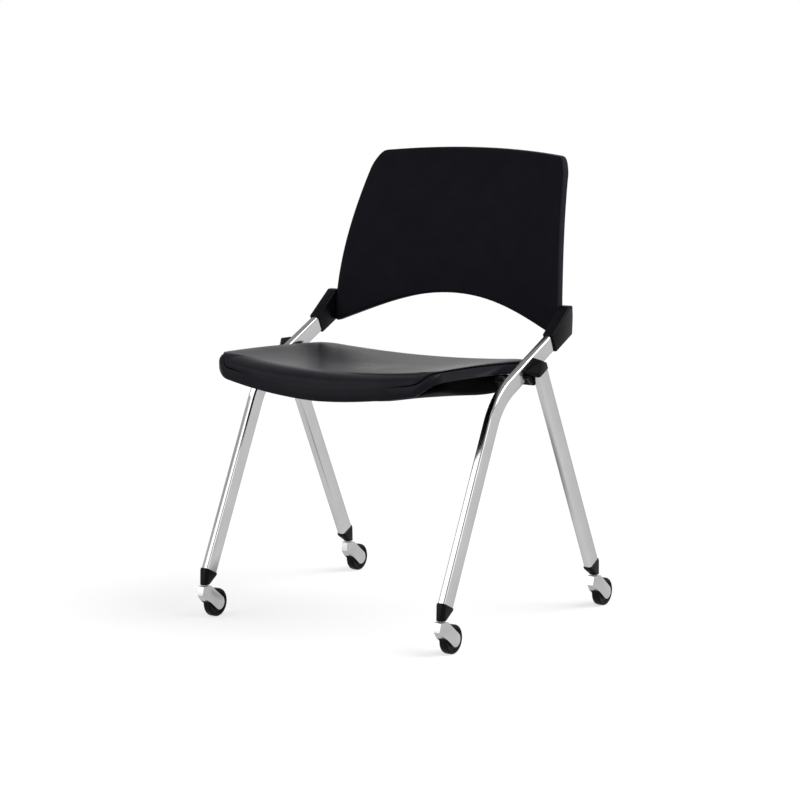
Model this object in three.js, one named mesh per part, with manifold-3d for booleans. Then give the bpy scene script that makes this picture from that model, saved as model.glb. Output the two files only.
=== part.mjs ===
// Nesting chair: bent flat-oval front tubes, straight rear legs outside them, a tip-up
// moulded seat on a cross bar, a moulded back between two connectors, and four casters.
// Millimetres, +Z up, the sitter faces -Y, +X is the right-hand side seen from the front.
import * as THREE from 'three';
import { mergeVertices } from 'three/addons/utils/BufferGeometryUtils.js';
import Module from 'manifold-3d';

const wasm = await Module();
wasm.setup();

// Clearances
const fitGap = 0.3;          // between pieces that seat on each other
const turnGap = 0.4;         // between pieces that turn on each other
const cutOverrun = 2;        // how far a cutting body runs past what it cuts

// Seat shell
const seatHalfWidth = 228;
const seatFrontY = -265;
const seatRearY = 85;
const seatBulge = 14;        // the front edge bows forward by this
const seatFrontCorner = 32;
const seatRearCorner = 42;
const seatHeight = 474;      // side edge of the seat, at the front
const seatFall = 13;         // the side edge drops by this at the rear
const seatDish = 14;         // hollow across the seat, at front and rear
const seatDishExtra = 8;     // deeper by this in the middle
const seatWall = 4;
const seatSideRoll = 6;      // the edge rolls in over this at the sides and the rear
const seatFrontRoll = 30;    // and over this in front
const seatEdgeDrop = 1;      // fall of the roll at the front end of each side
const seatSideDrop = 5;      // more than that at the rear end
const seatFrontDrop = 28;    // fall of the roll in the middle of the front
const seatFrontRise = 13;    // less than that towards the front corners
const seatSideBand = 19;     // upright band below the roll
const seatFrontBand = 22.5;
const seatStep = 0.9;        // the band is set in from the roll by this

// Frame tube stock
const tubeDepth = 30;        // section, seen from the side
const tubeWidth = 15;        // section, seen from the front
const tubeWall = 2;
const tubeCorner = 5;

// Caster
const wheelRadius = 25;
const wheelWidth = 16;
const trailExtra = 3.3;        // the axle trails the stem by the wheel's radius and this
const hubRadius = 12;
const treadRound = 3;
const wheelSideGap = 0.8;    // each side of the wheel, in the hood
const hoodCheek = 2.7;       // wall of the hood beside the wheel
const hoodClear = 3;         // round the wheel
const hoodEnd = 12.5;        // radius round the axle
const hoodFore = 14;         // the head reaches this far in front of the stem
const hoodAft = 4;           // and its top this far behind
const hoodHeadHeight = 18;
const hoodNose = 10;         // width of the head's front
const hoodBevel = 2;
const hoodTopGap = 0.5;
const stemSeat = 12;          // of the stem in the hood
const axleRadius = 3;
const axleSeat = 1.4;        // the axle enters each cheek by this
const stemRadius = 4;
const stemReach = 14;        // of the stem in the socket
const socketLift = 10;       // underside of the socket above the top of the wheel
const socketFoot = 7.8;      // radius of the socket's underside
const socketLip = 1.6;       // the socket stands proud of the tube by this
const socketLength = 27.5;     // from the underside of the socket to the tube end
const spigotLength = 18;     // of sockets and caps in the tubes

// Side frames
const tubeSideGap = 13.5;    // between the seat's side edge and the front tube
const frontStemY = -250;     // front caster stem
const rearStemY = 212;       // rear caster stem
const bendY = -83;           // corner of the front tube's centre line
const bendDrop = 64;         // that corner below the seat's side edge
const bendRadius = 125;
const upperSlope = THREE.MathUtils.degToRad(25.4);
const upperLength = 231;     // from the bend corner to the tube's upper end
const jointAlong = 111;      // from the bend corner to where the rear leg meets
const legTopDrop = 12;       // rear leg end below the front tube's centre line
const lugThickness = 5.4;    // steel plate between front tube and rear leg

// Rear leg end cap
const capOverhang = 0.6;     // past the outer side of the leg
const capHeight = 15;

// Cross bar that carries the seat
const barRadius = 7.5;
const barWall = 1.5;
const barAlong = 98;         // from the bend corner, along the upper tube
const barClear = 0.4;          // between the bar and the front tube above it
const lugLobe = 4;           // radius of the plate's corners
const lugFore = 24;          // reach of the plate on the front tube
const lugDrop = 6;           // below the front tube's centre line
const lugOnLeg = 12;         // reach of the plate down the rear leg

// Tray under the seat
const trayInset = 14;        // from the seat's side edge
const trayFrontInset = 34;   // from the seat's front edge
const trayRearClear = 32;    // from the bar's axis forward to the tray
const trayCorner = 40;        // its front corners
const trayRearCorner = 12;
const trayDrop = 64;         // underside of the tray below the seat's side edge
const traySideRise = 4;
const trayFrontRise = 22;    // more than that at its front corners
const trayWall = 3;
const trayRoll = 8;

// Seat hinge brackets
const bracketInset = 46;     // from the seat's side edge
const bracketWidth = 26;
const bracketRim = 5;
const bracketFore = 22;
const bracketAft = 46;
const bushWall = 1.2;

// Pegs that the seat rests on
const pegY = -38;
const pegRadius = 3;
const pegReach = 23;         // from the front tube's inner face
const bufferRadius = 6;
const bufferLength = 17;

// Back shell
const earDrop = 21;          // ear tips below the end of the front tube
const backSetback = 30.7;    // middle of the back behind the end of the front tube
const backHeight = 324.8;      // from the ear tips to the top edge
const backCrown = 9.6;         // the top edge rises by this in the middle
const backTaper = 32;      // each side draws in by this at the top corner
const backCorner = 29.3;       // height of the top corner
const archRise = 67;         // crown of the arch in the lower edge, above the ear tips
const earCorner = 9;
const backCurve = 644;       // radius of the back, seen from the side
const backHollow = 30;       // hollow across the back
const backRim = 18;
const backWall = 4;
const backRoll = 5.5;
const backCentreRise = 202;  // where the skin's rings centre, above the ear tips

// Connector between front tube and back
const connectorWall = 1.7;   // inside of the tube
const connectorFlange = 1.8; // above and below the tube
const connectorGrip = 45;    // length of tube inside the connector
const connectorOuter = 3.2;  // outside of the tube
const connectorBevel = 1.2;

// Counts of facets
const arcSteps = 3;
const wheelSides = 20;
const pinSides = 16;
const bendSteps = 8;
const seatPoints = 64;
const trayPoints = 44;
const backPoints = 68;
const rollSteps = 3;
const blockSteps = 4;

// Rings of a skin, from its centre out
const skinShares = [0.2, 0.4, 0.6, 0.78, 0.92];
const traySkinShares = [0.5, 0.85];

// Outlines in shares of the sizes that they follow
const archShares = [[0.36, 1], [0.63, 0.58]];                  // of half width, rise
const sideShares = [[1, 0.385], [0.4, 0.75]];                     // of taper, height to the corner
const topCornerShares = [[0.35, 0], [0.76, 0.08], [0.455, 1]];   // of corner, crown, half width
const connectorShares = [                                      // of grip, sleeve
  [0, -1], [1.31, -1], [1.63, 0.57], [1.78, 1.6], [1.76, 1.75], [1.56, 1.95], [0, 1],
];
const capInnerShares = [[-1, 0], [-2.55, 1.3], [0.25, 1.63], [1, 1.05], [1, 0]];   // of half leg, height
const capOuterShares = [[-1, 0], [-1, 0.47], [0.27, 1.13], [1, 0.67], [1, 0]];
const frontDropShare = 1.5;  // how fast the front's roll grows towards the middle

// Colours
const brightMetal = [0xcfcfcf, 0.28, 0.9];
const blackSteel = [0x141414, 0.5, 0.5];
const zincSteel = [0xa8a8a8, 0.4, 0.9];
const blackPlastic = [0x17171a, 0.45, 0];
const seatPlastic = [0x2a2a2c, 0.4, 0];
const blackNylon = [0x101012, 0.55, 0];
const rubber = [0x0c0c0c, 0.8, 0];

// Plane and vector helpers: the side view's (y, z) is a Vector2
const yz = (y, z) => new THREE.Vector2(y, z);
const along = (from, direction, distance) => from.clone().addScaledVector(direction, distance);
const toward = (from, to) => to.clone().sub(from).normalize();
const upNormal = (direction) => yz(-direction.y, direction.x);
const { lerp } = THREE.MathUtils;

// A closed body from rings of equal count; caps close it, or it closes on itself
function loft(rings, caps) {
  const count = rings[0].length;
  const points = rings.flat();
  const faces = [];
  const last = caps ? rings.length - 1 : rings.length;
  for (let k = 0; k < last; k += 1) {
    const here = k * count;
    const next = ((k + 1) % rings.length) * count;
    for (let i = 0; i < count; i += 1) {
      const j = (i + 1) % count;
      faces.push(here + i, here + j, next + j, here + i, next + j, next + i);
    }
  }
  if (caps) {
    points.push(...caps);
    const start = points.length - 2;
    const end = points.length - 1;
    const top = (rings.length - 1) * count;
    for (let i = 0; i < count; i += 1) {
      const j = (i + 1) % count;
      faces.push(start, j, i, end, top + i, top + j);
    }
  }
  return closedBody(points, faces);
}

// Indexed geometry whose faces point out
function closedBody(points, faces) {
  let volume = 0;
  for (let f = 0; f < faces.length; f += 3) {
    const [a, b, c] = [points[faces[f]], points[faces[f + 1]], points[faces[f + 2]]];
    volume += a.dot(new THREE.Vector3().crossVectors(b, c));
  }
  if (volume < 0) {
    for (let f = 0; f < faces.length; f += 3) {
      [faces[f + 1], faces[f + 2]] = [faces[f + 2], faces[f + 1]];
    }
  }
  const geometry = new THREE.BufferGeometry();
  geometry.setAttribute('position', new THREE.Float32BufferAttribute(points.flatMap((p) => p.toArray()), 3));
  geometry.setIndex(faces);
  return geometry;
}

const middle = (ring) => ring.reduce((sum, p) => sum.add(p), new THREE.Vector3()).divideScalar(ring.length);
const solidLoft = (rings) => loft(rings, [middle(rings[0]), middle(rings[rings.length - 1])]);

// Booleans
function solid(geometry) {
  const bare = geometry.clone();
  bare.deleteAttribute('normal');
  bare.deleteAttribute('uv');
  const merged = mergeVertices(bare);
  return new wasm.Manifold(new wasm.Mesh({
    numProp: 3,
    vertProperties: new Float32Array(merged.attributes.position.array),
    triVerts: new Uint32Array(merged.index.array),
  }));
}

function geometryOf(body) {
  const mesh = body.getMesh();
  const geometry = new THREE.BufferGeometry();
  geometry.setAttribute('position', new THREE.Float32BufferAttribute(mesh.vertProperties, mesh.numProp));
  geometry.setIndex(new THREE.Uint32BufferAttribute(mesh.triVerts, 1));
  return geometry;
}

const subtracted = (left, tool) => left.subtract(solid(tool));
const cut = (body, ...tools) => geometryOf(tools.reduce(subtracted, solid(body)));

// The same body on the other side of the chair
function mirrored(geometry) {
  const copy = geometry.index ? geometry.clone() : mergeVertices(geometry.clone());
  copy.scale(-1, 1, 1);
  const index = copy.index.array;
  for (let f = 0; f < index.length; f += 3) {
    [index[f + 1], index[f + 2]] = [index[f + 2], index[f + 1]];
  }
  return copy;
}

// Rounded rectangle as a ring of plane points, the same count for every size
function roundedSection(width, depth, corner) {
  const points = [];
  const centres = [[1, 1], [-1, 1], [-1, -1], [1, -1]];
  centres.forEach(([sx, sy], quarter) => {
    for (let k = 0; k <= arcSteps; k += 1) {
      const angle = (Math.PI / 2) * (quarter + k / arcSteps);
      const x = sx * (width / 2 - corner) + corner * Math.cos(angle);
      const y = sy * (depth / 2 - corner) + corner * Math.sin(angle);
      points.push(new THREE.Vector2(x, y));
    }
  });
  return points;
}

// A section set square to a direction in the side view, in the plane x
function sectionRing(section, x, centre, direction) {
  const up = upNormal(direction);
  return section.map((p) => new THREE.Vector3(x + p.x, centre.x + up.x * p.y, centre.y + up.y * p.y));
}

const circleSection = (radius) => roundedSection(2 * radius, 2 * radius, radius);

// An outline in the side view, drawn out along X
function sidePlate(outline, fromX, toX, bevel = 0) {
  const geometry = new THREE.ExtrudeGeometry(new THREE.Shape(outline), {
    depth: toX - fromX - 2 * bevel,
    bevelEnabled: bevel > 0,
    bevelThickness: bevel,
    bevelSize: bevel,
    bevelOffset: -bevel,
    bevelSegments: 1,
    steps: 1,
  });
  const across = new THREE.Matrix4().makeBasis(
    new THREE.Vector3(0, 1, 0), new THREE.Vector3(0, 0, 1), new THREE.Vector3(1, 0, 0));
  geometry.applyMatrix4(across);
  geometry.translate(fromX + bevel, 0, 0);
  return geometry;
}

// Outline round a set of circles, as a tight band
function bandOutline(circles) {
  const cloud = [];
  for (const [centre, radius] of circles) {
    for (let k = 0; k < pinSides; k += 1) {
      const angle = (2 * Math.PI * k) / pinSides;
      cloud.push(yz(centre.x + radius * Math.cos(angle), centre.y + radius * Math.sin(angle)));
    }
  }
  cloud.sort((a, b) => a.x - b.x || a.y - b.y);
  const half = (points) => {
    const chain = [];
    for (const p of points) {
      while (chain.length > 1) {
        const [a, b] = chain.slice(-2);
        if ((b.x - a.x) * (p.y - a.y) - (b.y - a.y) * (p.x - a.x) > 0) break;
        chain.pop();
      }
      chain.push(p);
    }
    return chain.slice(0, -1);
  };
  return [...half(cloud), ...half(cloud.reverse())];
}

// Round bar along X between two planes
function barAcross(radius, fromX, toX, centre, sides = pinSides) {
  const geometry = new THREE.CylinderGeometry(radius, radius, toX - fromX, sides);
  geometry.rotateZ(Math.PI / 2);
  geometry.translate((fromX + toX) / 2, centre.x, centre.y);
  return geometry;
}

// Profile of (radius, place along X) points turned round an axis along X
function turnedAcross(profile, middleX, centre, sides) {
  const closed = profile.map(([radius, x]) => new THREE.Vector2(radius, x));
  closed.push(closed[0].clone());
  const geometry = new THREE.LatheGeometry(closed, sides);
  geometry.rotateZ(-Math.PI / 2);
  geometry.translate(middleX, centre.x, centre.y);
  return orientedCopy(geometry);
}

function orientedCopy(geometry) {
  const bare = geometry.clone();
  bare.deleteAttribute('normal');
  bare.deleteAttribute('uv');
  const merged = mergeVertices(bare);
  const position = merged.attributes.position;
  const points = [];
  for (let i = 0; i < position.count; i += 1) {
    points.push(new THREE.Vector3().fromBufferAttribute(position, i));
  }
  const faces = [];
  const index = merged.index.array;
  for (let f = 0; f < index.length; f += 3) {
    const [a, b, c] = [index[f], index[f + 1], index[f + 2]];
    if (a !== b && b !== c && c !== a) faces.push(a, b, c);
  }
  return closedBody(points, faces);
}

// Caster lines
const wheelTrail = wheelRadius + trailExtra;
const socketFootZ = 2 * wheelRadius + socketLift;
const hoodTopZ = socketFootZ - hoodTopGap;
const stemFootZ = hoodTopZ - stemSeat;
const stemTopZ = socketFootZ + stemReach;
const hoodSlot = wheelWidth + 2 * wheelSideGap;
const hoodWidth = hoodSlot + 2 * hoodCheek;
const axleLength = hoodSlot + 2 * axleSeat;

// Side frame lines, all in the side view
const frontTubeX = seatHalfWidth + tubeSideGap + tubeWidth / 2;
const bendZ = seatHeight - bendDrop;
const frontHead = yz(frontStemY, socketFootZ);
const rearHead = yz(rearStemY, socketFootZ);
const bend = yz(bendY, bendZ);
const lowerDirection = toward(frontHead, bend);
const upperDirection = yz(Math.cos(upperSlope), Math.sin(upperSlope));
const upperUp = upNormal(upperDirection);
const joint = along(bend, upperDirection, jointAlong);
const legDirection = toward(rearHead, joint);
const legAcross = upNormal(legDirection).negate();
const frontFoot = along(frontHead, lowerDirection, socketLength);
const rearFoot = along(rearHead, legDirection, socketLength);
const legTop = along(joint, legDirection, -legTopDrop);
const tubeTop = along(bend, upperDirection, upperLength);
const rearLegX = frontTubeX + tubeWidth + lugThickness + 2 * fitGap;
const barDrop = tubeDepth / 2 + barRadius + barClear;
const barCentre = along(along(bend, upperDirection, barAlong), upperUp, -barDrop);

// Centre line of the front tube: straight, bend, straight
function frontTubeStations() {
  const turn = lowerDirection.angle() - upperDirection.angle();
  const tangent = bendRadius * Math.tan(turn / 2);
  const bendStart = along(bend, lowerDirection, -tangent);
  const centre = along(bendStart, upNormal(lowerDirection), -bendRadius);
  const stations = [{ at: frontFoot, direction: lowerDirection }];
  for (let k = 0; k <= bendSteps; k += 1) {
    const direction = lowerDirection.clone().rotateAround(yz(0, 0), (-turn * k) / bendSteps);
    stations.push({ at: along(centre, upNormal(direction), bendRadius), direction });
  }
  stations.push({ at: tubeTop, direction: upperDirection });
  return stations;
}

// A length of tube stock along stations, open at both ends
function openTube(stations, x) {
  const outside = roundedSection(tubeWidth, tubeDepth, tubeCorner);
  const inside = roundedSection(tubeWidth - 2 * tubeWall, tubeDepth - 2 * tubeWall, tubeCorner - tubeWall);
  const rings = (section) => stations.map((s) => sectionRing(section, x, s.at, s.direction));
  return loft([...rings(outside), ...rings(inside).reverse()]);
}

const frontTube = () => openTube(frontTubeStations(), frontTubeX);
const rearLegStations = [{ at: rearFoot, direction: legDirection }, { at: legTop, direction: legDirection }];
const rearLeg = () => openTube(rearLegStations, rearLegX);

// A point of the rear leg's cap, from the middle of the leg's end
const capAt = (a, b) => along(along(along(legTop, legDirection, fitGap), legAcross, a), legDirection, b);

// Black steel plate between front tube and rear leg, reaching down to the cross bar
function jointLug() {
  const fromX = frontTubeX + tubeWidth / 2 + fitGap;
  const onTube = along(along(joint, upperDirection, -lugFore), upperUp, -lugDrop);
  const onLeg = along(legTop, legDirection, -lugOnLeg);
  const outline = bandOutline([[barCentre, barRadius], [onTube, lugLobe], [onLeg, lugLobe]]);
  const plate = sidePlate(outline, fromX, fromX + lugThickness);
  const room = capInnerShares.map(([a, b]) => capAt(
    a * tubeDepth / 2 + Math.sign(a) * fitGap,
    b * capHeight + (b > 0 ? fitGap : -fitGap)));
  return cut(plate, sidePlate(room, fromX - cutOverrun, fromX + lugThickness + cutOverrun));
}

// Faceted cap on the upper end of the rear leg, with a nose along the front tube
function legCap() {
  const inner = roundedSection(
    tubeWidth - 2 * (tubeWall + fitGap), tubeDepth - 2 * (tubeWall + fitGap), tubeCorner - tubeWall);
  const plug = solidLoft([
    sectionRing(inner, rearLegX, capAt(0, -spigotLength), legDirection),
    sectionRing(inner, rearLegX, capAt(0, capHeight / 2), legDirection),
  ]);
  const innerX = frontTubeX + tubeWidth / 2 + fitGap;
  const outerX = rearLegX + tubeWidth / 2 + capOverhang;
  const corners = (shares, x) => shares.map(([a, b]) => {
    const p = capAt(a * tubeDepth / 2, b * capHeight);
    return [x, p.x, p.y];
  });
  const block = wasm.Manifold.hull([...corners(capInnerShares, innerX), ...corners(capOuterShares, outerX)]);
  return geometryOf(block.add(solid(plug)));
}

// Cross bar, from lug to lug
function crossBar() {
  const reach = frontTubeX + tubeWidth / 2;
  return turnedAcross([
    [barRadius, -reach],
    [barRadius, reach],
    [barRadius - barWall, reach],
    [barRadius - barWall, -reach],
  ], 0, barCentre, wheelSides);
}

// A moulded skin with a rolled edge and a band below it, from a closed plan outline
function mouldedShell({ outline, centre, place, wall, step = 0, edge, rim, shares }) {
  const count = outline.length;
  const normals = outline.map((p, i) => {
    const chord = outline[(i + 1) % count].clone().sub(outline[(i + count - 1) % count]).normalize();
    return new THREE.Vector2(chord.y, -chord.x);
  });
  const inset = (i, distance) => outline[i].clone().addScaledVector(normals[i], -distance);
  const ring = (at) => outline.map((p, i) => place(...at(i)));
  const quarter = (k) => (Math.PI / 2) * (k / rollSteps);
  const edges = outline.map((p, i) => edge(p, normals[i]));
  const rings = [];
  for (const share of shares) {
    rings.push(ring((i) => [centre.clone().lerp(inset(i, edges[i].reach), share), 0]));
  }
  for (let k = 0; k <= rollSteps; k += 1) {
    const [across, down] = [1 - Math.sin(quarter(k)), 1 - Math.cos(quarter(k))];
    rings.push(ring((i) => [inset(i, edges[i].reach * across), -edges[i].drop * down]));
  }
  if (step > 0) rings.push(ring((i) => [inset(i, step), -edges[i].drop - step]));
  for (const depth of [step, wall]) {
    rings.push(ring((i) => [inset(i, depth), -rim(edges[i], inset(i, depth), normals[i])]));
  }
  for (let k = rollSteps; k >= 0; k -= 1) {
    const [across, down] = [1 - Math.sin(quarter(k)), 1 - Math.cos(quarter(k))];
    rings.push(ring((i) => [
      inset(i, wall + (edges[i].reach - wall) * across),
      -wall - Math.max(0, edges[i].drop - wall) * down,
    ]));
  }
  for (const share of [...shares].reverse()) {
    rings.push(ring((i) => [centre.clone().lerp(inset(i, edges[i].reach), share), -wall]));
  }
  return loft(rings, [place(centre, 0), place(centre, -wall)]);
}

// Plan outline with straight sides, two corner radii and a bowed front
function seatOutline(halfWidth, frontY, rearY, frontCorner, rearCorner, bulge, count) {
  const squareFront = frontY + bulge;
  const shape = new THREE.Shape();
  shape.moveTo(halfWidth, (squareFront + rearY) / 2);
  shape.lineTo(halfWidth, rearY - rearCorner);
  shape.absarc(halfWidth - rearCorner, rearY - rearCorner, rearCorner, 0, Math.PI / 2);
  shape.lineTo(-halfWidth + rearCorner, rearY);
  shape.absarc(-halfWidth + rearCorner, rearY - rearCorner, rearCorner, Math.PI / 2, Math.PI);
  shape.lineTo(-halfWidth, squareFront + frontCorner);
  shape.absarc(-halfWidth + frontCorner, squareFront + frontCorner, frontCorner, Math.PI, 1.5 * Math.PI);
  shape.lineTo(halfWidth - frontCorner, squareFront);
  shape.absarc(halfWidth - frontCorner, squareFront + frontCorner, frontCorner, 1.5 * Math.PI, 2 * Math.PI);
  shape.lineTo(halfWidth, (squareFront + rearY) / 2);
  const points = shape.getSpacedPoints(count).slice(0, count);
  for (const p of points) {
    const fore = (rearY - p.y) / (rearY - squareFront);
    p.y -= bulge * fore * fore * (1 - (p.x / halfWidth) ** 2);
  }
  return points;
}

// Upper face of the seat: sides fall to the rear, the middle is dished
const seatAft = (p) => (p.y - seatFrontY) / (seatRearY - seatFrontY);

function seatTop(p) {
  const aft = seatAft(p);
  const across = p.x / seatHalfWidth;
  const dish = seatDish + seatDishExtra * Math.sin(Math.PI * aft);
  return seatHeight - seatFall * aft * aft - dish * (1 - across * across);
}

// The edge is crisp at the sides and sweeps down round the front corners into a deep roll
function seatEdge(p, normal) {
  const front = Math.max(0, -normal.y) ** 3;
  const across = Math.min(1, Math.abs(p.x) / seatHalfWidth) ** frontDropShare;
  const side = seatEdgeDrop + seatSideDrop * seatAft(p);
  return {
    reach: lerp(seatSideRoll, seatFrontRoll, front),
    drop: lerp(side, seatFrontDrop - seatFrontRise * across, front),
  };
}

const seatRim = (edge, p, normal) => edge.drop + lerp(seatSideBand, seatFrontBand, Math.max(0, -normal.y));

function seatShell() {
  return mouldedShell({
    outline: seatOutline(
      seatHalfWidth, seatFrontY, seatRearY, seatFrontCorner, seatRearCorner, seatBulge, seatPoints),
    centre: new THREE.Vector2(0, (seatFrontY + seatRearY) / 2),
    place: (p, height) => new THREE.Vector3(p.x, p.y, seatTop(p) + height),
    wall: seatWall,
    step: seatStep,
    edge: seatEdge,
    rim: seatRim,
    shares: skinShares,
  });
}

// Tray that closes the seat from below, in front of the cross bar
const trayHalfWidth = seatHalfWidth - trayInset;
const trayFrontY = seatFrontY + trayFrontInset;
const trayRearY = barCentre.x - trayRearClear;
const trayLowZ = seatHeight - trayDrop;
const seatUnderside = (p) => seatTop(p) - seatWall - fitGap;

function trayBottom(p) {
  const fore = (trayRearY - p.y) / (trayRearY - trayFrontY);
  return trayLowZ + (traySideRise + trayFrontRise * fore) * (Math.abs(p.x) / trayHalfWidth) ** 4;
}

function seatTray() {
  return mouldedShell({
    outline: seatOutline(
      trayHalfWidth, trayFrontY, trayRearY, trayCorner, trayRearCorner, seatBulge, trayPoints),
    centre: new THREE.Vector2(0, (trayFrontY + trayRearY) / 2),
    place: (p, height) => new THREE.Vector3(p.x, p.y, trayBottom(p) - height),
    wall: trayWall,
    edge: () => ({ reach: trayRoll, drop: trayRoll }),
    rim: (edge, p) => seatUnderside(p) - fitGap - trayBottom(p),
    shares: traySkinShares,
  });
}

// Everything under the seat skin, between two depths and two sides, to trim brackets with
function underSeatBlock(fromX, toX, fromY, toY, lowZ) {
  const rings = [];
  for (let k = 0; k <= blockSteps; k += 1) {
    const x = fromX + ((toX - fromX) * k) / blockSteps;
    const ring = [];
    for (let i = 0; i <= blockSteps; i += 1) {
      const y = fromY + ((toY - fromY) * i) / blockSteps;
      ring.push(new THREE.Vector3(x, y, seatUnderside({ x, y })));
    }
    ring.push(new THREE.Vector3(x, toY, lowZ), new THREE.Vector3(x, fromY, lowZ));
    rings.push(ring);
  }
  return solidLoft(rings);
}

// Bracket screwed under the seat, turning on the cross bar
const bracketX = seatHalfWidth - bracketInset;

function hingeBracket() {
  const fromX = bracketX - bracketWidth / 2;
  const toX = bracketX + bracketWidth / 2;
  const bossRadius = barRadius + turnGap + bushWall + fitGap + bracketRim;
  const low = barCentre.y - bossRadius;
  const fore = barCentre.x - bracketFore;
  const aft = barCentre.x + bracketAft;
  const outline = bandOutline([
    [barCentre, bossRadius],
    [yz(fore, seatHeight), bracketRim],
    [yz(aft, seatHeight), bracketRim],
  ]);
  const plate = solid(sidePlate(outline, fromX, toX));
  const room = solid(underSeatBlock(
    fromX - cutOverrun, toX + cutOverrun,
    fore - bossRadius, aft + bossRadius, low - cutOverrun));
  const bore = solid(barAcross(
    bossRadius - bracketRim, fromX - cutOverrun, toX + cutOverrun, barCentre, wheelSides));
  return geometryOf(plate.intersect(room).subtract(bore));
}

// Split plastic bush between bracket and bar
function hingeBush() {
  const inner = barRadius + turnGap;
  return turnedAcross([
    [inner, -bracketWidth / 2],
    [inner + bushWall, -bracketWidth / 2],
    [inner + bushWall, bracketWidth / 2],
    [inner, bracketWidth / 2],
  ], bracketX, barCentre, wheelSides);
}

// Peg on the front tube with its buffer, under the seat's side edge
const tubeInnerX = frontTubeX - tubeWidth / 2;
const bufferEndX = tubeInnerX - pegReach;
const sideEdge = new THREE.Vector2(seatHalfWidth - seatWall, pegY);
const sideFootZ = seatTop(sideEdge) - seatRim(seatEdge(sideEdge, yz(1, 0)), sideEdge, yz(1, 0));
const pegCentre = yz(pegY, sideFootZ - bufferRadius - 2 * fitGap);
const restPeg = () => barAcross(pegRadius, bufferEndX, tubeInnerX - fitGap, pegCentre);

function restBuffer() {
  return turnedAcross([
    [pegRadius + fitGap, 0],
    [bufferRadius, 0],
    [bufferRadius, bufferLength],
    [pegRadius + fitGap, bufferLength],
  ], bufferEndX, pegCentre, pinSides);
}

// Back: half outline from the crown of the arch round to the middle of the top edge
const connectorInnerX = tubeInnerX - connectorWall;
const backHalfWidth = connectorInnerX - fitGap;
const earTipZ = tubeTop.y - earDrop;
const backBaseY = tubeTop.x + backSetback;

function backOutline() {
  const shape = new THREE.Shape();
  const topZ = earTipZ + backHeight;
  const sideTopZ = topZ - backCrown;
  const cornerZ = sideTopZ - backCorner;
  const topHalf = backHalfWidth - backTaper;
  const onArch = archShares.map(([a, b]) => [a * backHalfWidth, earTipZ + b * archRise]);
  const onSide = sideShares.map(([a, b]) => [topHalf + a * backTaper, earTipZ + b * (cornerZ - earTipZ)]);
  const [cornerPull, cornerEnd, crownPull] = topCornerShares;
  shape.moveTo(0, earTipZ + archRise);
  shape.bezierCurveTo(...onArch[0], ...onArch[1], backHalfWidth - earCorner, earTipZ);
  shape.quadraticCurveTo(backHalfWidth, earTipZ, backHalfWidth, earTipZ + earCorner);
  shape.bezierCurveTo(...onSide[0], ...onSide[1], topHalf, cornerZ);
  shape.quadraticCurveTo(
    topHalf - cornerPull[0] * backCorner, sideTopZ + cornerPull[1] * backCrown,
    topHalf - cornerEnd[0] * backCorner, sideTopZ + cornerEnd[1] * backCrown);
  shape.quadraticCurveTo(crownPull[0] * topHalf, sideTopZ + crownPull[1] * backCrown, 0, topZ);
  const half = shape.getSpacedPoints(backPoints / 2);
  const other = half.slice(1, -1).reverse().map((p) => new THREE.Vector2(-p.x, p.y));
  return [...half, ...other];
}

// Front face of the back: curved in the side view, hollow across
function backFace(p) {
  const rise = p.y - earTipZ;
  const across = p.x / backHalfWidth;
  return backBaseY + (rise * rise) / (2 * backCurve) - backHollow * across * across;
}

function backShell() {
  return mouldedShell({
    outline: backOutline(),
    centre: new THREE.Vector2(0, earTipZ + backCentreRise),
    place: (p, height) => new THREE.Vector3(p.x, backFace(p) - height, p.y),
    wall: backWall,
    edge: () => ({ reach: backRoll, drop: backRoll }),
    rim: () => backRim,
    shares: skinShares,
  });
}

// Connector: a sleeve over the front tube's upper end that rises behind the back's ear
function connector() {
  const start = along(tubeTop, upperDirection, -connectorGrip);
  const sleeve = tubeDepth / 2 + connectorFlange;
  const at = (a, b) => along(along(start, upperDirection, a), upperUp, b);
  const outline = connectorShares.map(([a, b]) => at(a * connectorGrip, b * sleeve));
  const toX = frontTubeX + tubeWidth / 2 + connectorOuter;
  const body = sidePlate(outline, connectorInnerX, toX, connectorBevel);
  const room = roundedSection(tubeWidth + 2 * fitGap, tubeDepth + 2 * fitGap, tubeCorner + fitGap);
  const bore = solidLoft([
    sectionRing(room, frontTubeX, at(-cutOverrun, 0), upperDirection),
    sectionRing(room, frontTubeX, at(connectorGrip + fitGap, 0), upperDirection),
  ]);
  return cut(body, bore);
}

// Caster socket: spigot in the tube, then a taper from the tube's section to a round foot
function casterSocket(x, foot, direction, stemY) {
  const inner = roundedSection(
    tubeWidth - 2 * (tubeWall + fitGap), tubeDepth - 2 * (tubeWall + fitGap), tubeCorner - tubeWall);
  const lip = roundedSection(tubeWidth + 2 * socketLip, tubeDepth + 2 * socketLip, tubeCorner + socketLip);
  const upright = yz(0, 1);
  const lipAt = along(foot, direction, -fitGap);
  const body = solidLoft([
    sectionRing(inner, x, along(foot, direction, spigotLength), direction),
    sectionRing(inner, x, lipAt, direction),
    sectionRing(lip, x, lipAt, direction),
    sectionRing(lip, x, along(lipAt, direction, -socketLip), direction),
    sectionRing(circleSection(socketFoot), x, yz(stemY, socketFootZ), upright),
  ]);
  const bore = new THREE.CylinderGeometry(
    stemRadius + turnGap, stemRadius + turnGap, stemTopZ + fitGap - socketFootZ + cutOverrun, pinSides);
  bore.rotateX(Math.PI / 2);
  bore.translate(x, stemY, (stemTopZ + fitGap + socketFootZ - cutOverrun) / 2);
  return cut(body, bore);
}

const axleAt = (stemY) => yz(stemY + wheelTrail, wheelRadius);

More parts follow.
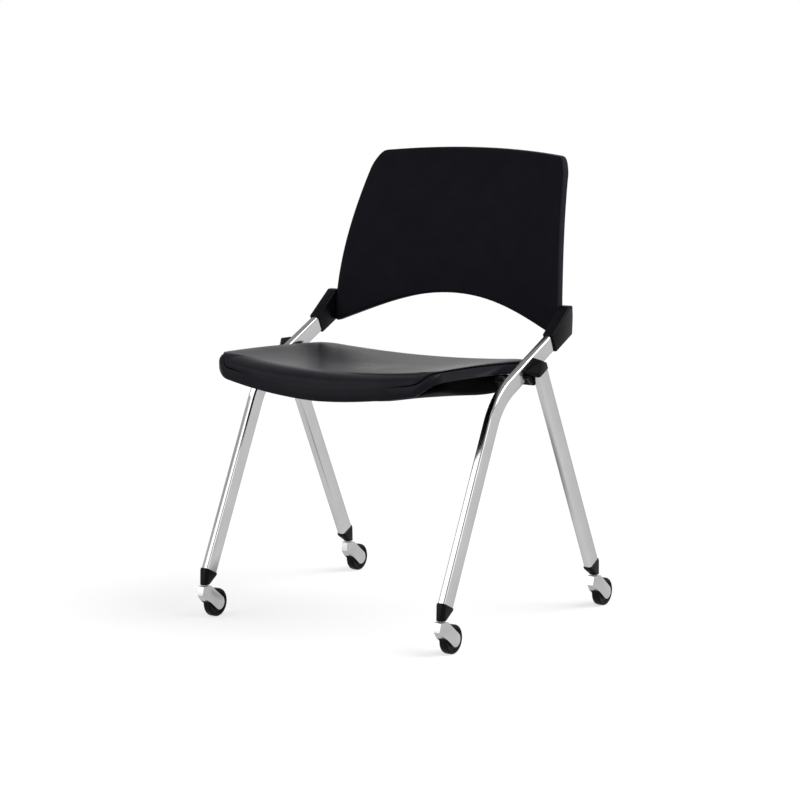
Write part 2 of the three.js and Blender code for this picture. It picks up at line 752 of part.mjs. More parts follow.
// Plan of a hood: a narrow front that widens to the cheeks
function hoodPlan(x, stemY) {
  const half = hoodWidth / 2;
  const side = [[hoodNose / 2, -hoodFore], [half, hoodAft], [half, wheelTrail + 2 * hoodEnd]];
  const other = side.map(([across, aft]) => [-across, aft]).reverse();
  const outline = [...side, ...other].map(([across, aft]) => new THREE.Vector2(x + across, stemY + aft));
  return new THREE.ExtrudeGeometry(new THREE.Shape(outline), { depth: socketFootZ, bevelEnabled: false });
}

// Silver hood: two cheeks from a solid head, open below for the wheel
function casterHood(x, stemY) {
  const axle = axleAt(stemY);
  const outline = bandOutline([
    [axle, hoodEnd],
    [yz(stemY - hoodFore, hoodTopZ - hoodHeadHeight), 0],
    [yz(stemY - hoodFore, hoodTopZ), 0],
    [yz(stemY + hoodAft, hoodTopZ), 0],
  ]);
  const body = sidePlate(outline, x - hoodWidth / 2, x + hoodWidth / 2, hoodBevel);
  const room = barAcross(
    wheelRadius + hoodClear, x - hoodSlot / 2, x + hoodSlot / 2, axle, 2 * pinSides);
  const axleBore = barAcross(
    axleRadius + fitGap, x - axleLength / 2 - fitGap, x + axleLength / 2 + fitGap, axle);
  const stemBore = new THREE.CylinderGeometry(
    stemRadius + fitGap, stemRadius + fitGap, hoodTopZ - stemFootZ + fitGap + cutOverrun, pinSides);
  stemBore.rotateX(Math.PI / 2);
  stemBore.translate(x, stemY, (hoodTopZ + cutOverrun + stemFootZ - fitGap) / 2);
  const plan = solid(hoodPlan(x, stemY));
  return cut(geometryOf(solid(body).intersect(plan)), room, axleBore, stemBore);
}

function casterStem(x, stemY) {
  const geometry = new THREE.CylinderGeometry(stemRadius, stemRadius, stemTopZ - stemFootZ, pinSides);
  geometry.rotateX(Math.PI / 2);
  geometry.translate(x, stemY, (stemTopZ + stemFootZ) / 2);
  return geometry;
}

// Wheel with a rounded tread and a dished face round its hub
function casterWheel(x, stemY) {
  const half = wheelWidth / 2;
  const bore = axleRadius + turnGap;
  const dish = wheelRadius - 2 * treadRound;
  const face = half - treadRound / 2;
  return turnedAcross([
    [bore, -half],
    [hubRadius - treadRound, -half],
    [hubRadius, -face],
    [dish, -face],
    [wheelRadius - treadRound, -half],
    [wheelRadius, treadRound - half],
    [wheelRadius, half - treadRound],
    [wheelRadius - treadRound, half],
    [dish, face],
    [hubRadius, face],
    [hubRadius - treadRound, half],
    [bore, half],
  ], x, axleAt(stemY), wheelSides);
}

const casterAxle = (x, stemY) => barAcross(axleRadius, x - axleLength / 2, x + axleLength / 2, axleAt(stemY));

// Assembly
const chair = new THREE.Group();

function add(name, geometry, [color, roughness, metalness]) {
  const shown = geometry.clone();
  shown.computeVertexNormals();
  const mesh = new THREE.Mesh(shown, new THREE.MeshStandardMaterial({ color, roughness, metalness }));
  mesh.name = name;
  chair.add(mesh);
}

function addPair(name, geometry, look) {
  const indexed = orientedCopy(geometry);
  add(`${name}_right`, indexed, look);
  add(`${name}_left`, mirrored(indexed), look);
}

addPair('front_tube', frontTube(), brightMetal);
addPair('rear_leg', rearLeg(), brightMetal);
addPair('joint_lug', jointLug(), blackSteel);
addPair('rear_leg_cap', legCap(), blackPlastic);
add('cross_bar', crossBar(), blackSteel);
add('seat_shell', seatShell(), seatPlastic);
add('seat_tray', seatTray(), blackPlastic);
addPair('seat_hinge_bracket', hingeBracket(), blackSteel);
addPair('seat_hinge_bush', hingeBush(), blackNylon);
addPair('seat_rest_peg', restPeg(), zincSteel);
addPair('seat_rest_buffer', restBuffer(), rubber);
add('back_shell', backShell(), blackPlastic);
addPair('back_connector', connector(), blackPlastic);

const corners = [
  ['front', frontTubeX, frontStemY, frontFoot, lowerDirection],
  ['rear', rearLegX, rearStemY, rearFoot, legDirection],
];
for (const [end, x, stemY, foot, direction] of corners) {
  addPair(`${end}_caster_socket`, casterSocket(x, foot, direction, stemY), blackPlastic);
  addPair(`${end}_caster_stem`, casterStem(x, stemY), zincSteel);
  addPair(`${end}_caster_hood`, casterHood(x, stemY), brightMetal);
  addPair(`${end}_caster_wheel`, casterWheel(x, stemY), blackNylon);
  addPair(`${end}_caster_axle`, casterAxle(x, stemY), zincSteel);
}

export default chair;
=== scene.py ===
# Nesting chair on casters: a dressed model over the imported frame.
# Metres, +Z up, the sitter faces -Y, +X is the right-hand side seen from the front.
import math

import bmesh
import bpy
from mathutils import Matrix, Vector

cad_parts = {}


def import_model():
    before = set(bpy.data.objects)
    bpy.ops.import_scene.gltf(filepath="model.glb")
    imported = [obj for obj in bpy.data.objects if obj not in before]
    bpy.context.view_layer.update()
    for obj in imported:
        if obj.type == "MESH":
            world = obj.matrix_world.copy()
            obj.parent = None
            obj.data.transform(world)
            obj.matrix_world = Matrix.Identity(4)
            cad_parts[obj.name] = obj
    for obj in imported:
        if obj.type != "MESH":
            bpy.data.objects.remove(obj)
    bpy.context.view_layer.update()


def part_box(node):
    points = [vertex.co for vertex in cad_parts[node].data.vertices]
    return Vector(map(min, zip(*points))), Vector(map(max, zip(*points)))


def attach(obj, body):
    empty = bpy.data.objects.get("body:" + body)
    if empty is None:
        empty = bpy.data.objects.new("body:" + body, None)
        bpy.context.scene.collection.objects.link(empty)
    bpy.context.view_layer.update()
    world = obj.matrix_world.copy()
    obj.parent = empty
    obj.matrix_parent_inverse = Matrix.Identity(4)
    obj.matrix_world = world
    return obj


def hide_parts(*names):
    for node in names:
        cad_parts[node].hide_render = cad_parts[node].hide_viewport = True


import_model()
MM = 0.001

# Clearances
FIT_GAP = 0.3 * MM
TURN_GAP = 0.4 * MM
CUT_OVERRUN = 2 * MM


def node_middle(node):
    low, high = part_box(node)
    return (low + high) / 2


# Driving places, read from the frame
seat_low, seat_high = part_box("seat_shell")
SEAT_HALF_WIDTH = seat_high.x
SEAT_FRONT_Y = seat_low.y
SEAT_REAR_Y = seat_high.y
SEAT_HEIGHT = seat_high.z
FRONT_STEM = node_middle("front_caster_stem_right")
REAR_STEM = node_middle("rear_caster_stem_right")
FRONT_TUBE_X = FRONT_STEM.x
REAR_LEG_X = REAR_STEM.x
BAR_CENTRE = node_middle("cross_bar")
BAR_RADIUS = (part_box("cross_bar")[1].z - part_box("cross_bar")[0].z) / 2
WHEEL = node_middle("front_caster_wheel_right")
WHEEL_RADIUS = WHEEL.z
WHEEL_WIDTH = 2 * (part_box("front_caster_wheel_right")[1].x - WHEEL.x)
WHEEL_TRAIL = WHEEL.y - FRONT_STEM.y

# Seat shell
SEAT_BULGE = 14 * MM
SEAT_FRONT_CORNER = 32 * MM
SEAT_REAR_CORNER = 42 * MM
SEAT_FALL = 11 * MM
SEAT_FRONT_DISH = 14 * MM
SEAT_REAR_DISH = 9.5 * MM
SEAT_SIDE_LIFT = 1.5 * MM
SEAT_DISH_EXTRA = 8 * MM
SEAT_WALL = 4 * MM
SEAT_SIDE_ROLL = 30 * MM
SEAT_FRONT_ROLL = 44 * MM
SEAT_SIDE_DROP = 6 * MM
SEAT_FRONT_DROP = 28 * MM
SEAT_FRONT_RISE = 13 * MM
SEAT_SIDE_BAND = 19 * MM
SEAT_FRONT_BAND = 21.5 * MM
SEAT_CREASE_SIDE = 2 * MM
SEAT_CREASE_CORNER = 7 * MM
SEAT_SHOULDER = 8 * MM
SEAT_GROOVE = 2.4 * MM
SEAT_GROOVE_DEPTH = 3 * MM
SEAT_CREASE_FADE = (0.6, 0.8)
SEAT_CREASE_LEAST = 0.01
SEAT_EDGE_DROP = MM
SEAT_LIFT_POWER = 4
SEAT_ROLL_POWER = 3
SEAT_RISE_POWER = 1.5
SEAT_SKINS = 14
SEAT_ROLLS = 10
RIM_ROUND = MM
RIM_STEP = MM

# Frame tube stock
TUBE_DEPTH = 30 * MM
TUBE_WIDTH = 15 * MM
TUBE_WALL = 2 * MM
TUBE_CORNER = 4 * MM

# Side frames
BEND_Y = -83 * MM
BEND_DROP = 64 * MM
BEND_RADIUS = 125 * MM
UPPER_SLOPE = math.radians(25.4)
UPPER_LENGTH = 231 * MM
JOINT_ALONG = 111 * MM
LEG_TOP_DROP = 12 * MM
LUG_THICKNESS = 5.4 * MM

# Counts
SEAT_POINTS = 300
BACK_POINTS = 260
TRAY_POINTS = 160
ARC_STEPS = 6
CORNER_STEPS = 24
CURVE_STEPS = 40
BAND_STEPS = 32
BEND_STEPS = 28
ROUND_SIDES = 48
PIN_SIDES = 32
ROOM_SIDES = 64
TYRE_SIDES = 72
TYRE_STEPS = 5
ROOM_STEPS = 8
BEVEL_STEPS = 3

# Meshes: points closer than this are one, and edges sharper than these angles stay sharp
MERGE_DISTANCE = 1e-7
SHARP_ANGLE = 35
TUBE_SHARP_ANGLE = 40
SHELL_SHARP_ANGLE = 45
SOCKET_SHARP_ANGLE = 30
BEVEL_ANGLE = 30
CAP_BEVEL_ANGLE = 12
FLAT_ANGLE = 1


# Plane helpers: the side view's (y, z) is a two-number Vector
def yz(y, z):
    return Vector((y, z))


def along(start, direction, distance):
    return start + direction * distance


def up_normal(direction):
    return Vector((-direction.y, direction.x))


def mix(a, b, share):
    return a + (b - a) * share


# Meshes
def make_object(name, points, faces, sharp=SHARP_ANGLE):
    mesh = bpy.data.meshes.new(name)
    mesh.from_pydata([tuple(p) for p in points], [], faces)
    mesh.validate()
    obj = bpy.data.objects.new(name, mesh)
    bpy.context.collection.objects.link(obj)
    tidy_mesh(mesh, sharp)
    return obj


def tidy_mesh(mesh, sharp=SHARP_ANGLE):
    work = bmesh.new()
    work.from_mesh(mesh)
    bmesh.ops.remove_doubles(work, verts=work.verts, dist=MERGE_DISTANCE)
    bmesh.ops.recalc_face_normals(work, faces=work.faces)
    work.to_mesh(mesh)
    work.free()
    mesh.polygons.foreach_set("use_smooth", [True] * len(mesh.polygons))
    mesh.set_sharp_from_angle(angle=math.radians(sharp))
    mesh.update()


def loft_mesh(name, rings, closed=False, sharp=SHARP_ANGLE):
    """A body from rings of equal count, capped at both ends or closed on itself."""
    count = len(rings[0])
    points = [p for ring in rings for p in ring]
    faces = []
    last = len(rings) if closed else len(rings) - 1
    for k in range(last):
        here, there = k * count, ((k + 1) % len(rings)) * count
        for i in range(count):
            j = (i + 1) % count
            faces.append((here + i, here + j, there + j, there + i))
    if not closed:
        faces.append(tuple(range(count)))
        faces.append(tuple(reversed(range(last * count, (last + 1) * count))))
    return make_object(name, points, faces, sharp)


def applied(obj):
    """Bakes an object's modifiers into its mesh."""
    bpy.context.view_layer.update()
    shaped = obj.evaluated_get(bpy.context.evaluated_depsgraph_get())
    mesh = bpy.data.meshes.new_from_object(shaped)
    obj.modifiers.clear()
    obj.data = mesh
    tidy_mesh(mesh)
    return obj


def bevelled(obj, width, segments=BEVEL_STEPS, angle=BEVEL_ANGLE):
    modifier = obj.modifiers.new("bevel", "BEVEL")
    modifier.width = width
    modifier.segments = segments
    modifier.limit_method = "ANGLE"
    modifier.angle_limit = math.radians(angle)
    modifier.use_clamp_overlap = True
    return applied(obj)


def carved(obj, *cutters, operation="DIFFERENCE"):
    for cutter in cutters:
        modifier = obj.modifiers.new("cut", "BOOLEAN")
        modifier.operation = operation
        modifier.solver = "EXACT"
        modifier.object = cutter
        applied(obj)
        bpy.data.objects.remove(cutter)
    return obj


def mirrored(obj, name):
    other = obj.copy()
    other.data = obj.data.copy()
    other.name = name
    bpy.context.collection.objects.link(other)
    other.data.transform(Matrix.Scale(-1, 4, Vector((1, 0, 0))))
    other.data.flip_normals()
    return other


# Sections and solids
def rounded_section(width, depth, corner):
    points = []
    for quarter, (sx, sy) in enumerate(((1, 1), (-1, 1), (-1, -1), (1, -1))):
        for k in range(ARC_STEPS + 1):
            angle = (math.pi / 2) * (quarter + k / ARC_STEPS)
            x = sx * (width / 2 - corner) + corner * math.cos(angle)
            y = sy * (depth / 2 - corner) + corner * math.sin(angle)
            points.append(Vector((x, y)))
    return points


def section_ring(section, x, centre, direction):
    up = up_normal(direction)
    return [Vector((x + p.x, centre.x + up.x * p.y, centre.y + up.y * p.y)) for p in section]


def prism(name, outline, low_x, high_x):
    rings = [[Vector((x, p.x, p.y)) for p in outline] for x in (low_x, high_x)]
    return loft_mesh(name, rings)


def bar_across(name, radius, low_x, high_x, centre, sides=ROUND_SIDES):
    ring = [along(centre, yz(math.cos(a), math.sin(a)), radius)
            for a in (2 * math.pi * k / sides for k in range(sides))]
    return prism(name, ring, low_x, high_x)


def upright_pin(name, radius, x, y, low_z, high_z):
    angles = [2 * math.pi * k / PIN_SIDES for k in range(PIN_SIDES)]
    rings = [[Vector((x + radius * math.cos(a), y + radius * math.sin(a), z)) for a in angles]
             for z in (low_z, high_z)]
    return loft_mesh(name, rings)


def turned_across(name, profile, middle_x, centre, sides=ROUND_SIDES):
    """A closed profile of (radius, place along X) turned round an axis along X."""
    rings = []
    for k in range(sides):
        angle = 2 * math.pi * k / sides
        out = yz(math.cos(angle), math.sin(angle))
        ring = []
        for radius, x in profile:
            at = along(centre, out, radius)
            ring.append(Vector((middle_x + x, at.x, at.y)))
        rings.append(ring)
    return loft_mesh(name, rings, closed=True)


def band_outline(circles):
    """The convex outline round a set of circles."""
    cloud = []
    for centre, radius in circles:
        for k in range(BAND_STEPS):
            angle = 2 * math.pi * k / BAND_STEPS
            cloud.append((centre.x + radius * math.cos(angle), centre.y + radius * math.sin(angle)))
    cloud.sort()

    def half(points):
        chain = []
        for p in points:
            while len(chain) > 1:
                a, b = chain[-2], chain[-1]
                if (b[0] - a[0]) * (p[1] - a[1]) - (b[1] - a[1]) * (p[0] - a[0]) > 0:
                    break
                chain.pop()
            chain.append(p)
        return chain[:-1]

    return [Vector(p) for p in half(cloud) + half(cloud[::-1])]


def resampled(points, count):
    """Evenly spaced points along a closed line."""
    closed = points + [points[0]]
    lengths = [(b - a).length for a, b in zip(closed, closed[1:])]
    total = sum(lengths)
    result, k, done = [], 0, 0.0
    for i in range(count):
        target = total * i / count
        while done + lengths[k] < target:
            done += lengths[k]
            k += 1
        result.append(mix(closed[k], closed[k + 1], (target - done) / lengths[k]))
    return result


def arc(centre, radius, start, end):
    angles = [mix(start, end, k / CORNER_STEPS) for k in range(CORNER_STEPS + 1)]
    return [centre + radius * Vector((math.cos(a), math.sin(a))) for a in angles]


def bezier(points):
    """A quadratic or cubic curve from its control points."""
    result = []
    for k in range(CURVE_STEPS + 1):
        level = list(points)
        while len(level) > 1:
            level = [mix(a, b, k / CURVE_STEPS) for a, b in zip(level, level[1:])]
        result.append(level[0])
    return result


# Caster and side frame lines
SOCKET_LIFT = 10 * MM
SOCKET_FOOT_Z = 2 * WHEEL_RADIUS + SOCKET_LIFT
SOCKET_LENGTH = 27.5 * MM
SOCKET_FOOT = 8.6 * MM
SOCKET_FOOT_LIFT = 1.3 * MM
SOCKET_FOOT_ROUND = 0.8 * MM
SOCKET_LIP = 1.6 * MM
STEM_RADIUS = 4 * MM
front_head = yz(FRONT_STEM.y, SOCKET_FOOT_Z)
rear_head = yz(REAR_STEM.y, SOCKET_FOOT_Z)
bend = yz(BEND_Y, SEAT_HEIGHT - BEND_DROP)
lower_direction = (bend - front_head).normalized()
upper_direction = yz(math.cos(UPPER_SLOPE), math.sin(UPPER_SLOPE))
upper_up = up_normal(upper_direction)
joint = along(bend, upper_direction, JOINT_ALONG)
leg_direction = (joint - rear_head).normalized()
leg_across = -up_normal(leg_direction)
front_foot = along(front_head, lower_direction, SOCKET_LENGTH)
rear_foot = along(rear_head, leg_direction, SOCKET_LENGTH)
leg_top = along(joint, leg_direction, -LEG_TOP_DROP)
tube_top = along(bend, upper_direction, UPPER_LENGTH)
bar_at = yz(BAR_CENTRE.y, BAR_CENTRE.z)


# Materials: the noise values that the two ends of a finish stand for, how much larger the
# patches of wear are than those of colour, and |Normal.x| where the painted side light begins and is full
NOISE_RANGE = (0.3, 0.7)
COLOUR_DETAIL = 5
WEAR_DETAIL = 8
WEAR_SPREAD = 5
GRAIN_DETAIL = 3
PAINTED_SIDE_LIGHT_RANGE = (0.3, 0.6)


def node_tree(name):
    material = bpy.data.materials.new(name)
    material.use_nodes = True
    nodes = material.node_tree.nodes
    nodes.clear()
    return material, nodes, material.node_tree.links


def mapped(nodes, links, value, start, end, smooth=False):
    """A number's range start turned into the range end."""
    node = nodes.new("ShaderNodeMapRange")
    if smooth:
        node.interpolation_type = "SMOOTHSTEP"
    node.inputs["From Min"].default_value, node.inputs["From Max"].default_value = start
    node.inputs["To Min"].default_value, node.inputs["To Max"].default_value = end
    links.new(value, node.inputs["Value"])
    return node.outputs["Result"]


def combined(nodes, links, operation, a, b=0.0):
    """One number from one or two, each of them a socket or a constant."""
    node = nodes.new("ShaderNodeMath")
    node.operation = operation
    for value, socket in zip((a, b), node.inputs):
        if isinstance(value, float):
            socket.default_value = value
        else:
            links.new(value, socket)
    return node.outputs[0]


def noise(nodes, links, place, scale, detail):
    node = nodes.new("ShaderNodeTexNoise")
    node.inputs["Scale"].default_value = scale
    node.inputs["Detail"].default_value = detail
    links.new(place, node.inputs["Vector"])
    return node.outputs["Fac"]


def painted_side_light_colour(nodes, links, colour, lift):
    """The colour, multiplied by lift where the surface faces sideways: painted light, so sideways faces look
    lit.
    """
    facing = nodes.new("ShaderNodeNewGeometry")
    parts = nodes.new("ShaderNodeSeparateXYZ")
    links.new(facing.outputs["Normal"], parts.inputs["Vector"])
    sideways = combined(nodes, links, "ABSOLUTE", parts.outputs["X"])
    scaled = nodes.new("ShaderNodeVectorMath")
    scaled.operation = "SCALE"
    links.new(colour, scaled.inputs["Vector"])
    links.new(mapped(nodes, links, sideways, PAINTED_SIDE_LIGHT_RANGE, (1, lift)), scaled.inputs["Scale"])
    return scaled.outputs["Vector"]


def surface(name, dark, light, rough, bump, scale=60, metallic=0.0, specular=0.5,
            grain=900, edge_tint=1.0, painted_side_light=1.0):
    """A finish whose colour, roughness and grain vary over the surface.

    rough is the range of its roughness, bump the strength and depth of its grain. The last
    argument paints light on what faces sideways by lightening its colour there."""
    material, nodes, links = node_tree(name)
    output = nodes.new("ShaderNodeOutputMaterial")
    shader = nodes.new("ShaderNodeBsdfPrincipled")
    shader.inputs["Metallic"].default_value = metallic
    shader.inputs["Specular IOR Level"].default_value = specular
    shader.inputs["Specular Tint"].default_value = (edge_tint, edge_tint, edge_tint, 1)
    place = nodes.new("ShaderNodeTexCoord").outputs["Object"]
    colours = nodes.new("ShaderNodeValToRGB")
    for element, share, colour in zip(colours.color_ramp.elements, NOISE_RANGE, (dark, light)):
        element.position = share
        element.color = (*colour, 1)
    links.new(noise(nodes, links, place, scale, COLOUR_DETAIL), colours.inputs["Fac"])
    colour = colours.outputs["Color"]
    # Painted light: the colour is lightened where the surface faces sideways
    if painted_side_light != 1.0:
        colour = painted_side_light_colour(nodes, links, colour, painted_side_light)
    links.new(colour, shader.inputs["Base Color"])
    worn = noise(nodes, links, place, scale / WEAR_SPREAD, WEAR_DETAIL)
    links.new(mapped(nodes, links, worn, NOISE_RANGE, rough), shader.inputs["Roughness"])
    relief = nodes.new("ShaderNodeBump")
    relief.inputs["Strength"].default_value, relief.inputs["Distance"].default_value = bump
    links.new(noise(nodes, links, place, grain, GRAIN_DETAIL), relief.inputs["Height"])
    links.new(relief.outputs["Normal"], shader.inputs["Normal"])
    links.new(shader.outputs["BSDF"], output.inputs["Surface"])
    return material


def grey(level, tint=0.0):
    return (level, level, level * (1 + tint))


FINISHES = {
    "bright_tube": surface(
        "satin_chrome", grey(0.49), grey(0.54, 0.01), (0.1, 0.16), (0.03, 0.05 * MM),
        scale=14, metallic=1, grain=700, edge_tint=0.45),
    "silver_hood": surface(
        "satin_casting", grey(0.42), grey(0.47, 0.01), (0.18, 0.26), (0.05, 0.05 * MM),
        scale=50, metallic=1, grain=1500),
    "zinc_steel": surface(
        "zinc_plate", grey(0.34), grey(0.5, 0.02), (0.3, 0.5), (0.1, 0.05 * MM),
        scale=90, metallic=1, grain=1600),
    "black_steel": surface(
        "black_powder_coat", grey(0.003), grey(0.006), (0.4, 0.55), (0.25, 0.1 * MM),
        scale=70, specular=0.08, grain=1100),
    "black_plastic": surface(
        "black_moulding", (0.0014, 0.0013, 0.0021), (0.0024, 0.0022, 0.0034), (0.26, 0.38),
        (0.2, 0.08 * MM), specular=0.07, grain=1300),
    # The back's colour is lifted on its sideways faces: painted light
    "back_plastic": surface(
        "back_moulding", (0.0047, 0.0045, 0.0066), (0.0062, 0.0058, 0.0085), (0.4, 0.52),
        (0.22, 0.08 * MM), scale=30, specular=0.02, grain=1300, painted_side_light=2.2),
    "seat_plastic": surface(
        "seat_moulding", (0.0066, 0.0064, 0.009), (0.0086, 0.0082, 0.0114), (0.26, 0.34),
        (0.18, 0.08 * MM), scale=30, specular=0.045, grain=1300),
    "nylon": surface(
        "black_nylon", grey(0.01), grey(0.02), (0.45, 0.6), (0.15, 0.05 * MM),
        scale=80, specular=0.3),
    "wheel_nylon": surface(
        "wheel_nylon", grey(0.001), grey(0.003), (0.34, 0.5), (0.2, 0.1 * MM),
        scale=120, specular=0.08, grain=1400),
    "rubber": surface(
        "matt_rubber", grey(0.004), grey(0.01), (0.7, 0.85), (0.3, 0.1 * MM),
        scale=100, specular=0.15),
}
# Painted shade: the tray's finish is a darker, less glossy copy of the black plastic, for its place in the
# shade under the seat
TRAY_PAINTED_SHADE_FINISH = surface(
    "tray_moulding", (0.0002, 0.0002, 0.0003), (0.0006, 0.0006, 0.0008), (0.45, 0.6),
    (0.2, 0.08 * MM), specular=0.01, grain=1300)


def dressed(obj, body, slot, *nodes, finish=None):
    obj.data.materials.clear()
    obj.data.materials.append(finish or FINISHES[slot])
    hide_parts(*nodes)
    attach(obj, body)


def dressed_pair(obj, body, slot, node):
    """Dresses a right-hand piece and its mirror image."""
    stem = obj.name
    obj.name = f"{stem}_right"
    other = mirrored(obj, f"{stem}_left")
    for side, piece in (("right", obj), ("left", other)):
        dressed(piece, body.format(side=side), slot, f"{node}_{side}")


# Front tubes and rear legs
def front_tube_stations():
    turn = math.atan2(lower_direction.y, lower_direction.x) - UPPER_SLOPE
    tangent = BEND_RADIUS * math.tan(turn / 2)
    start = along(bend, lower_direction, -tangent)
    centre = along(start, up_normal(lower_direction), -BEND_RADIUS)
    stations = [(front_foot, lower_direction)]
    for k in range(BEND_STEPS + 1):
        angle = UPPER_SLOPE + turn * (1 - k / BEND_STEPS)
        direction = yz(math.cos(angle), math.sin(angle))
        stations.append((along(centre, up_normal(direction), BEND_RADIUS), direction))
    stations.append((tube_top, upper_direction))
    return stations


def open_tube(name, stations, x):
    outside = rounded_section(TUBE_WIDTH, TUBE_DEPTH, TUBE_CORNER)
    inside = rounded_section(TUBE_WIDTH - 2 * TUBE_WALL, TUBE_DEPTH - 2 * TUBE_WALL, TUBE_CORNER - TUBE_WALL)
    outer = [section_ring(outside, x, at, direction) for at, direction in stations]
    inner = [section_ring(inside, x, at, direction) for at, direction in stations]
    return loft_mesh(name, outer + inner[::-1], closed=True, sharp=TUBE_SHARP_ANGLE)


def side_frames():
    dressed_pair(open_tube("front_tube_stock", front_tube_stations(), FRONT_TUBE_X),
                 "frame", "bright_tube", "front_tube")
    stations = [(rear_foot, leg_direction), (leg_top, leg_direction)]
    dressed_pair(open_tube("rear_leg_stock", stations, REAR_LEG_X), "frame", "bright_tube", "rear_leg")


# Faceted cap on the rear leg's upper end, with a nose along the front tube
CAP_OVERHANG = 0.6 * MM
CAP_HEIGHT = 15 * MM
CAP_BEVEL = 1.1 * MM
CAP_INNER_SHARES = [(-1, 0.1), (-2.15, 1.35), (0.5, 1.66), (1, 1.05), (1, 0)]
CAP_OUTER_SHARES = [(-1, 0), (-1, 0.47), (0.2, 1.55), (1, 0.75), (1, 0)]


def cap_at(a, b):
    foot = along(leg_top, leg_direction, FIT_GAP)
    return along(along(foot, leg_across, a), leg_direction, b)


def hull_of(name, points):
    """The convex body round some points, its flat sides each one face."""
    work = bmesh.new()
    for p in points:
        work.verts.new(p)
    bmesh.ops.convex_hull(work, input=work.verts)
    bmesh.ops.dissolve_limit(work, angle_limit=math.radians(FLAT_ANGLE), verts=work.verts,
                              edges=work.edges)
    mesh = bpy.data.meshes.new(name)
    work.to_mesh(mesh)
    work.free()
    obj = bpy.data.objects.new(name, mesh)
    bpy.context.collection.objects.link(obj)
    return obj


def leg_caps():
    inner_x = FRONT_TUBE_X + TUBE_WIDTH / 2 + FIT_GAP
    outer_x = REAR_LEG_X + TUBE_WIDTH / 2 + CAP_OVERHANG
    points = []
    for x, shares in ((inner_x, CAP_INNER_SHARES), (outer_x, CAP_OUTER_SHARES)):
        for a, b in shares:
            p = cap_at(a * TUBE_DEPTH / 2, b * CAP_HEIGHT)
            points.append(Vector((x, p.x, p.y)))
    cap = bevelled(hull_of("leg_cap", points), CAP_BEVEL, angle=CAP_BEVEL_ANGLE)
    dressed_pair(cap, "frame", "black_plastic", "rear_leg_cap")


# Black plate between front tube and rear leg
LUG_LOBE = 4 * MM
LUG_FORE = 24 * MM
LUG_DROP = 6 * MM
LUG_ON_LEG = 12 * MM
LUG_BEVEL = 0.4 * MM
LUG_BEVEL_STEPS = 2


def joint_lugs():
    low_x = FRONT_TUBE_X + TUBE_WIDTH / 2 + FIT_GAP
    on_tube = along(along(joint, upper_direction, -LUG_FORE), upper_up, -LUG_DROP)
    on_leg = along(leg_top, leg_direction, -LUG_ON_LEG)
    outline = band_outline([(bar_at, BAR_RADIUS), (on_tube, LUG_LOBE), (on_leg, LUG_LOBE)])
    plate = bevelled(prism("joint_plate", outline, low_x, low_x + LUG_THICKNESS), LUG_BEVEL, LUG_BEVEL_STEPS)
    room = []
    for a, b in CAP_INNER_SHARES:
        room.append(cap_at(a * TUBE_DEPTH / 2 + math.copysign(FIT_GAP, a),
                           b * CAP_HEIGHT + (FIT_GAP if b > 0 else -FIT_GAP)))
    cutter = prism("room", room, low_x - CUT_OVERRUN, low_x + LUG_THICKNESS + CUT_OVERRUN)
    dressed_pair(carved(plate, cutter), "frame", "black_steel", "joint_lug")


# Cross bar, an open tube with its outer edges broken
BAR_WALL = 1.5 * MM
BAR_EDGE = 0.4 * MM


def cross_bar():
    reach = FRONT_TUBE_X + TUBE_WIDTH / 2
    shoulder = reach - BAR_EDGE
    profile = [(BAR_RADIUS - BAR_EDGE, -reach), (BAR_RADIUS, -shoulder),
               (BAR_RADIUS, shoulder), (BAR_RADIUS - BAR_EDGE, reach),
               (BAR_RADIUS - BAR_WALL, reach), (BAR_RADIUS - BAR_WALL, -reach)]
    bar = turned_across("cross_bar_stock", profile, 0, bar_at)
    dressed(bar, "frame", "black_steel", "cross_bar")


# Seat
def seat_outline(half, front_y, rear_y, front_corner, rear_corner, bulge, count):
    square = front_y + bulge
    turn = math.pi / 2
    middle = (square + rear_y) / 2
    points = [Vector((half, middle))]
    points += arc(Vector((half - rear_corner, rear_y - rear_corner)), rear_corner, 0, turn)
    points += arc(Vector((rear_corner - half, rear_y - rear_corner)), rear_corner, turn, 2 * turn)
    points += arc(Vector((front_corner - half, square + front_corner)), front_corner, 2 * turn, 3 * turn)
    points += arc(Vector((half - front_corner, square + front_corner)), front_corner, 3 * turn, 4 * turn)
    spaced = resampled(points, count)
    for p in spaced:
        fore = (rear_y - p.y) / (rear_y - square)
        p.y -= bulge * fore * fore * (1 - (p.x / half) ** 2)
    return spaced


def seat_top(p):
    aft = (p.y - SEAT_FRONT_Y) / (SEAT_REAR_Y - SEAT_FRONT_Y)
    across = p.x / SEAT_HALF_WIDTH
    dish = mix(SEAT_FRONT_DISH, SEAT_REAR_DISH, aft) + SEAT_DISH_EXTRA * math.sin(math.pi * aft)
    lift = SEAT_SIDE_LIFT * math.sin(math.pi * aft) * across ** SEAT_LIFT_POWER
    return SEAT_HEIGHT + lift - SEAT_FALL * aft * aft - dish * (1 - across * across)


def seat_edge(p, normal):
    """How far the rolled edge reaches in, how far it drops, and how tall the band below it is."""
    aft = (p.y - SEAT_FRONT_Y) / (SEAT_REAR_Y - SEAT_FRONT_Y)
    front = max(0.0, -normal.y)
    share = front ** SEAT_ROLL_POWER
    across = min(1.0, abs(p.x) / SEAT_HALF_WIDTH) ** SEAT_RISE_POWER
    side_drop = SEAT_EDGE_DROP + SEAT_SIDE_DROP * aft
    drop = mix(side_drop, SEAT_FRONT_DROP - SEAT_FRONT_RISE * across, share)
    reach = mix(SEAT_SIDE_ROLL, SEAT_FRONT_ROLL, front)
    band = mix(SEAT_SIDE_BAND, SEAT_FRONT_BAND, front)
    return reach, drop, band


